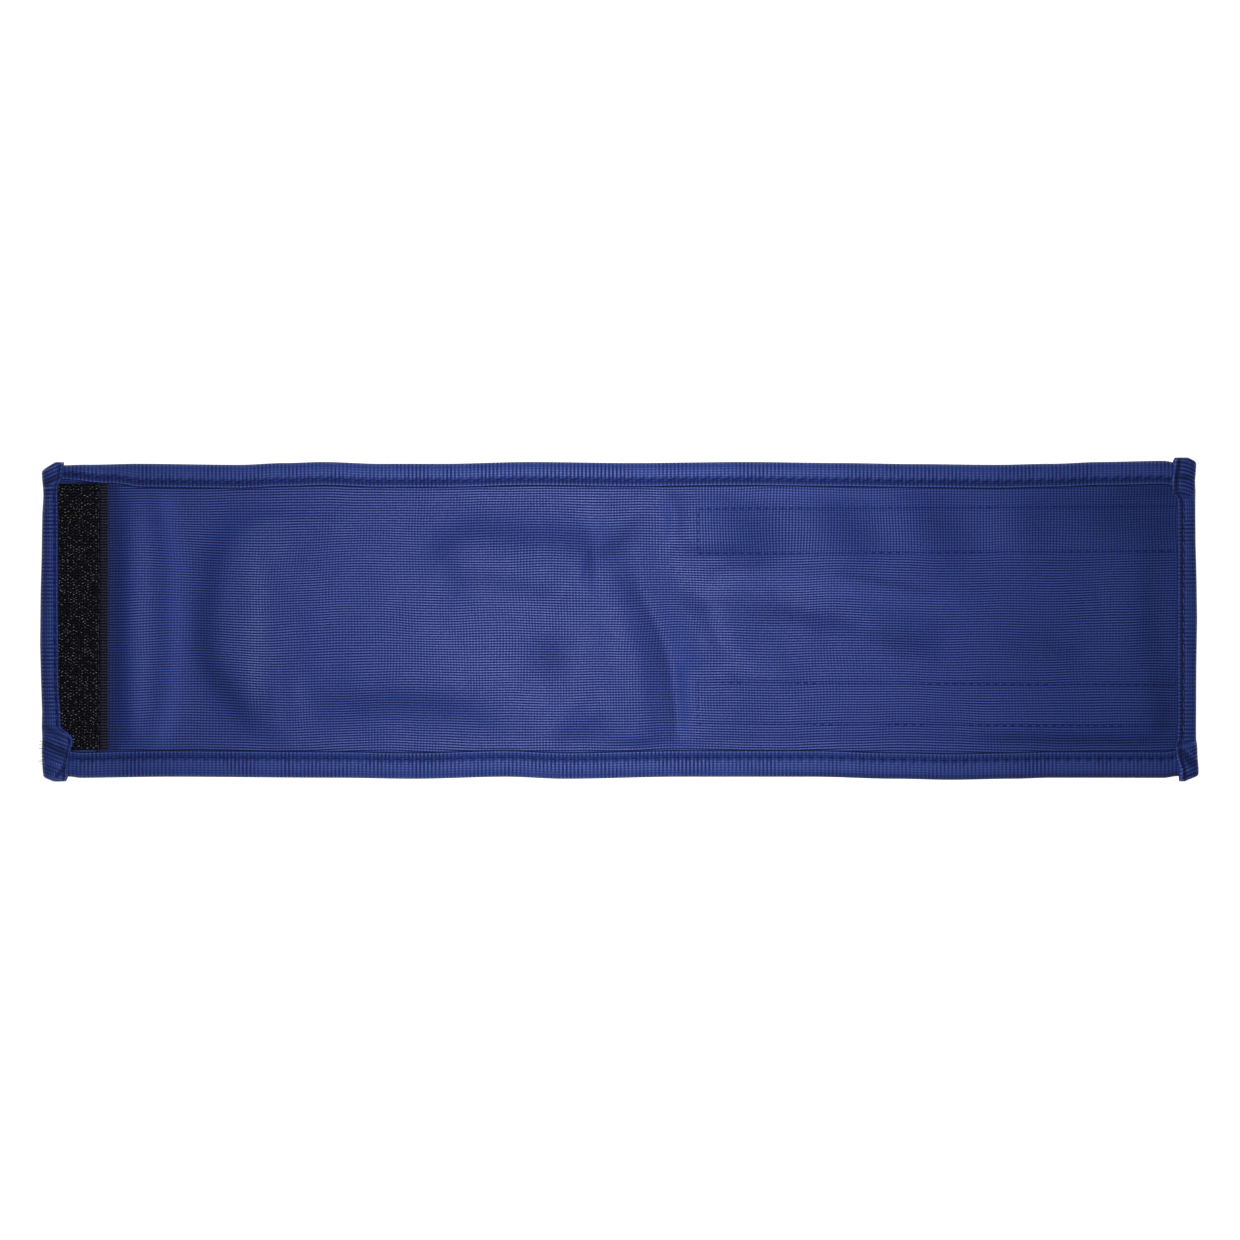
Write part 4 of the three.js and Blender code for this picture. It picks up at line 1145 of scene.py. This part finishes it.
def bindings():
    """The four folded bindings, each with its stitches on top and below. The sizes are those that
    their cloth was cut to, in metres."""
    rows = (
        ("upper_binding", "binding_upper", UPPER_SEAM, NAVY_THREAD, (0.0195, 0.4414), long_binding(
            "upper_binding", UPPER_EDGE, UPPER_BINDING_WIDTH, -1, UPPER_SEAM, PANEL_END)),
        ("lower_binding", "binding_lower", LOWER_SEAM, NAVY_THREAD, (0.0215, 0.4448), long_binding(
            "lower_binding", LOWER_EDGE, LOWER_BINDING_WIDTH, 1, LOWER_SEAM, 40)),
        ("left_binding", "binding_left", LEFT_SEAM, NAVY_THREAD, (0.0175, 0.1265), end_binding(
            "left_binding", LEFT_END, True, LEFT_TABS, LEFT_SEAM)),
        ("right_binding", "binding_right", RIGHT_SEAM, LIGHT_THREAD, (0.0185, 0.1265), end_binding(
            "right_binding", RIGHT_END, False, RIGHT_TABS, RIGHT_SEAM)),
    )
    for seed, (name, node, seam, thread, cut, (obj, route)) in enumerate(rows):
        dress(obj, NAVY_BINDING, node)
        for side, where, rise in ((1, "top", 0.32), (-1, "under", 0.12)):
            stitch_run(
                f"{name}_stitches_{where}", [route(side)], up=side, pitch=seam.pitch,
                reach=0.3 * seam.pitch, radius=THREAD_RADIUS, rise=rise, slant=0.14,
                seed=10 * seed + side + 2, material=thread)


# Tapes

def scattered(xs, ys, rng, spread_x, spread_y, stagger=0):
    """Points of a grid, each moved a little at random; stagger shifts every other column."""
    grid_x, grid_y = np.meshgrid(xs, ys, indexing="ij")
    grid_y = grid_y + (np.arange(len(xs))[:, None] % 2) * stagger
    x = (grid_x + rng.normal(0, spread_x, grid_x.shape)).ravel()
    return x, (grid_y + rng.normal(0, spread_y, grid_x.shape)).ravel()


def hook_feet(x, y):
    """Points just inside the top of the hook tape."""
    return np.stack([x, y, panel_under(x, y) + KNIT + CLEARANCE + WALL - HOOK_SUNK], 1)


def hook_tape():
    """The hook tape with its ribbed selvage, its hooks and the stitches between the two."""
    columns = spaced(HOOK_LOW[0], [(HOOK_FIELD_RIGHT + 0.4, 1.5), (HOOK_HIGH[0], 0.3)])
    rows = spaced(HOOK_LOW[1], [(HOOK_HIGH[1], SELVAGE_RIB_PITCH / 4)])

    def place(x, y):
        bottom = panel_under(x, y) + KNIT + CLEARANCE
        selvage = smoothstep(x, HOOK_FIELD_RIGHT + 0.6, HOOK_FIELD_RIGHT + 1.1)
        rib = 0.5 + 0.5 * np.cos(2 * math.pi * y / SELVAGE_RIB_PITCH)
        seam = np.exp(-(((x - HOOK_FIELD_RIGHT) / 0.5) ** 2))
        top = bottom + WALL + SELVAGE_RIB * (rib - 1) * selvage - 0.2 * seam
        return x, y, bottom, top, 1 - 2 * selvage * (1 - seam)

    obj = sheet_mesh("hook_tape", columns, rows, place)
    dress(obj, HOOK_TAPE_NYLON, "hook_strip")

    xs = np.arange(HOOK_FIELD_LEFT - 0.6, HOOK_FIELD_RIGHT - 0.5, HOOK_PITCH_X)
    ys = np.arange(HOOK_LOW[1] + 0.9, HOOK_HIGH[1] - 0.6, HOOK_PITCH_Y)
    x, y = scattered(xs, ys, np.random.default_rng(7), *HOOK_SCATTER, stagger=HOOK_PITCH_Y / 2)
    side = np.tile(np.where(np.arange(len(ys)) % 2, 1.0, -1.0), len(xs))
    tangents = np.stack([side, np.zeros_like(x), np.zeros_like(x)], 1)
    values = {
        "Start": (-0.2, 0.0, 0.0), "Start handle": (-0.3, 0.0, 1.75),
        "End handle": (0.4, 0.0, 1.75), "End": (0.3, 0.0, 0.7),
        "Steps": 8, "Sides": 6, "Radius": 0.12, "Up": 1.0,
        "Turn low": -0.6, "Turn high": 0.6, "Size low": 0.8, "Size high": 1.05,
        "Seed": 31, "Material": HOOK_FILAMENT,
    }
    hooks = grow_strands("tape_hooks", POINT_STRANDS, hook_feet(x, y), [], tangents, values)
    seam_y = np.arange(HOOK_LOW[1] + 0.6, HOOK_HIGH[1] - 0.4, 0.5)
    seam_x = HOOK_FIELD_RIGHT + 0.12 * np.sin(seam_y / 7)
    stitches = stitch_run(
        "hook_tape_stitches", [hook_feet(seam_x, seam_y)], up=1, pitch=3.9, reach=1.3,
        radius=THREAD_RADIUS, rise=0.4, slant=0.1, seed=77, material=SLATE_THREAD)


def loop_tapes():
    """The two loop tapes under the panel, each with its pile below."""
    for name, node, middle, seed in (
        ("upper_loop_tape", "loop_strip_upper", LOOP_ROWS[0], 51),
        ("lower_loop_tape", "loop_strip_lower", LOOP_ROWS[1], 52),
    ):
        columns = spaced(LOOP_LOW[0], [(LOOP_HIGH[0], 1.6)])
        rows = spaced(middle - LOOP_WIDTH / 2, [(middle + LOOP_WIDTH / 2, 1.25)])

        def place(x, y):
            top = panel_under(x, y) - CLEARANCE
            return x, y, top - LOOP_BACKING, top, np.zeros_like(x)

        obj = sheet_mesh(name, columns, rows, place)
        dress(obj, LOOP_TAPE_NYLON, node)
        rng = np.random.default_rng(seed)
        xs = np.arange(LOOP_LOW[0] + PILE_INSET, LOOP_HIGH[0] - 6, PILE_PITCH)
        ys = np.arange(middle - LOOP_WIDTH / 2 + PILE_INSET, middle + LOOP_WIDTH / 2 - 0.6, PILE_PITCH)
        x, y = scattered(xs, ys, rng, PILE_SCATTER, PILE_SCATTER)
        y = np.clip(y, ys[0], ys[-1])
        z = panel_under(x, y) - CLEARANCE - LOOP_BACKING + PILE_SUNK
        turn = rng.uniform(0, 2 * math.pi, len(x))
        tangents = np.stack([np.cos(turn), np.sin(turn), np.zeros_like(turn)], 1)
        values = {
            "Start": (-0.5, 0.0, 0.0), "Start handle": (-0.9, 0.1, 0.5),
            "End handle": (0.9, -0.1, 0.5), "End": (0.5, 0.0, 0.0),
            "Steps": 6, "Sides": 3, "Radius": 0.06, "Up": -1.0,
            "Turn low": -0.5, "Turn high": 0.5, "Size low": 0.75, "Size high": 1.1,
            "Seed": seed + 10, "Material": PILE_FILAMENT,
        }
        pile = grow_strands(f"{name}_pile", POINT_STRANDS, np.stack([x, y, z], 1), [], tangents,
                            values)


def loop_tape_stitches():
    """The outlines along which the loop tapes are sewn, on the inner face."""
    left = LOOP_LOW[0] + LOOP_SEAM_INSET
    routes = []
    for low, high in LOOP_SEAM_LINES:
        along = np.arange(PANEL_END - 8, left, -LOOP_SEAM_STEP)
        up_the_end = np.arange(low, high, LOOP_SEAM_STEP)
        x = np.concatenate([along, np.full(len(up_the_end), left), along[::-1]])
        y = np.concatenate([np.full(len(along), low), up_the_end, np.full(len(along), high)])
        y = y + loop_seam_drift(x, y)
        z = panel_under(x, y) + KNIT - LOOP_SEAM_DEPTH + 0.02
        routes.append(np.stack([x, y, z], 1))
    stitch_run("loop_tape_stitches", routes, up=1, pitch=LOOP_SEAM_PITCH, reach=1.0, radius=0.13,
               rise=0.3, slant=0.0, seed=91, material=NAVY_THREAD)


# Small things at the edges

def frayed_yarns():
    """Cut yarn ends that stand out of the fold above the lower left corner."""
    spots = [(x, y, FRAY_HEIGHT + 0.25 * (k % 3)) for k, (x, y) in enumerate(FRAY_SPOTS)]
    tangents = np.tile([-1.0, 0.35, 0.0], (len(spots), 1))
    values = {
        "Start": (-0.6, 0.0, 0.0), "Start handle": (0.2, 0.0, 0.3), "End handle": (0.8, 0.2, 0.3),
        "End": (1.5, 0.1, -0.2), "Steps": 8, "Sides": 5, "Radius": 0.16, "Taper": 0.85,
        "Up": 1.0, "Turn low": -0.5, "Turn high": 0.5, "Size low": 0.55, "Size high": 1.25,
        "Seed": 5, "Material": FRAYED_YARN,
    }
    grow_strands("frayed_yarns", POINT_STRANDS, spots, [], tangents, values)


# Stage, light and camera

def stage():
    """White paper under the band, a square softbox close above it and the photograph's camera."""
    corners = [(x * FLOOR_HALF, y * FLOOR_HALF, 0) for x, y in ((-1, -1), (1, -1), (1, 1), (-1, 1))]
    floor = make_mesh("floor", corners, [(0, 1, 2, 3)])
    material, tree = new_material("white_paper")
    shader = put(tree, "ShaderNodeBsdfPrincipled", {
        "Base Color": (0.9, 0.9, 0.9, 1), "Roughness": 0.9, "Specular IOR Level": 0.1,
        "Emission Color": (1, 1, 1, 1), "Emission Strength": FLOOR_GLOW,
    })
    put(tree, "ShaderNodeOutputMaterial", {"Surface": shader})
    floor.data.materials.append(material)

    world = bpy.data.worlds.new("studio")
    world.use_nodes = True
    world.node_tree.nodes.clear()
    background = put(world.node_tree, "ShaderNodeBackground", {
        "Color": (1, 1, 1, 1), "Strength": ROOM_LIGHT,
    })
    put(world.node_tree, "ShaderNodeOutputWorld", {"Surface": background})
    bpy.context.scene.world = world

    light = bpy.data.lights.new("softbox", "AREA")
    light.shape = "SQUARE"
    light.size = SOFTBOX_SIZE * MM
    light.energy = SOFTBOX_POWER
    softbox = add_object("softbox", light)
    softbox.location = [length * MM for length in SOFTBOX_PLACE]
    softbox.visible_camera = False

    lens = bpy.data.cameras.new("camera")
    lens.sensor_width = SENSOR_WIDTH
    lens.lens = SENSOR_WIDTH * CAMERA_HEIGHT / PHOTO_WIDTH_MM
    lens.clip_start = 0.05
    lens.clip_end = 50
    camera = add_object("camera", lens)
    camera.location = [length * MM for length in (*PHOTO_CENTRE, CAMERA_HEIGHT)]
    bpy.context.scene.camera = camera
    bpy.context.scene.view_settings.view_transform = "Standard"


stage()
bindings()
knit_panel()
hook_tape()
loop_tapes()
loop_tape_stitches()
frayed_yarns()
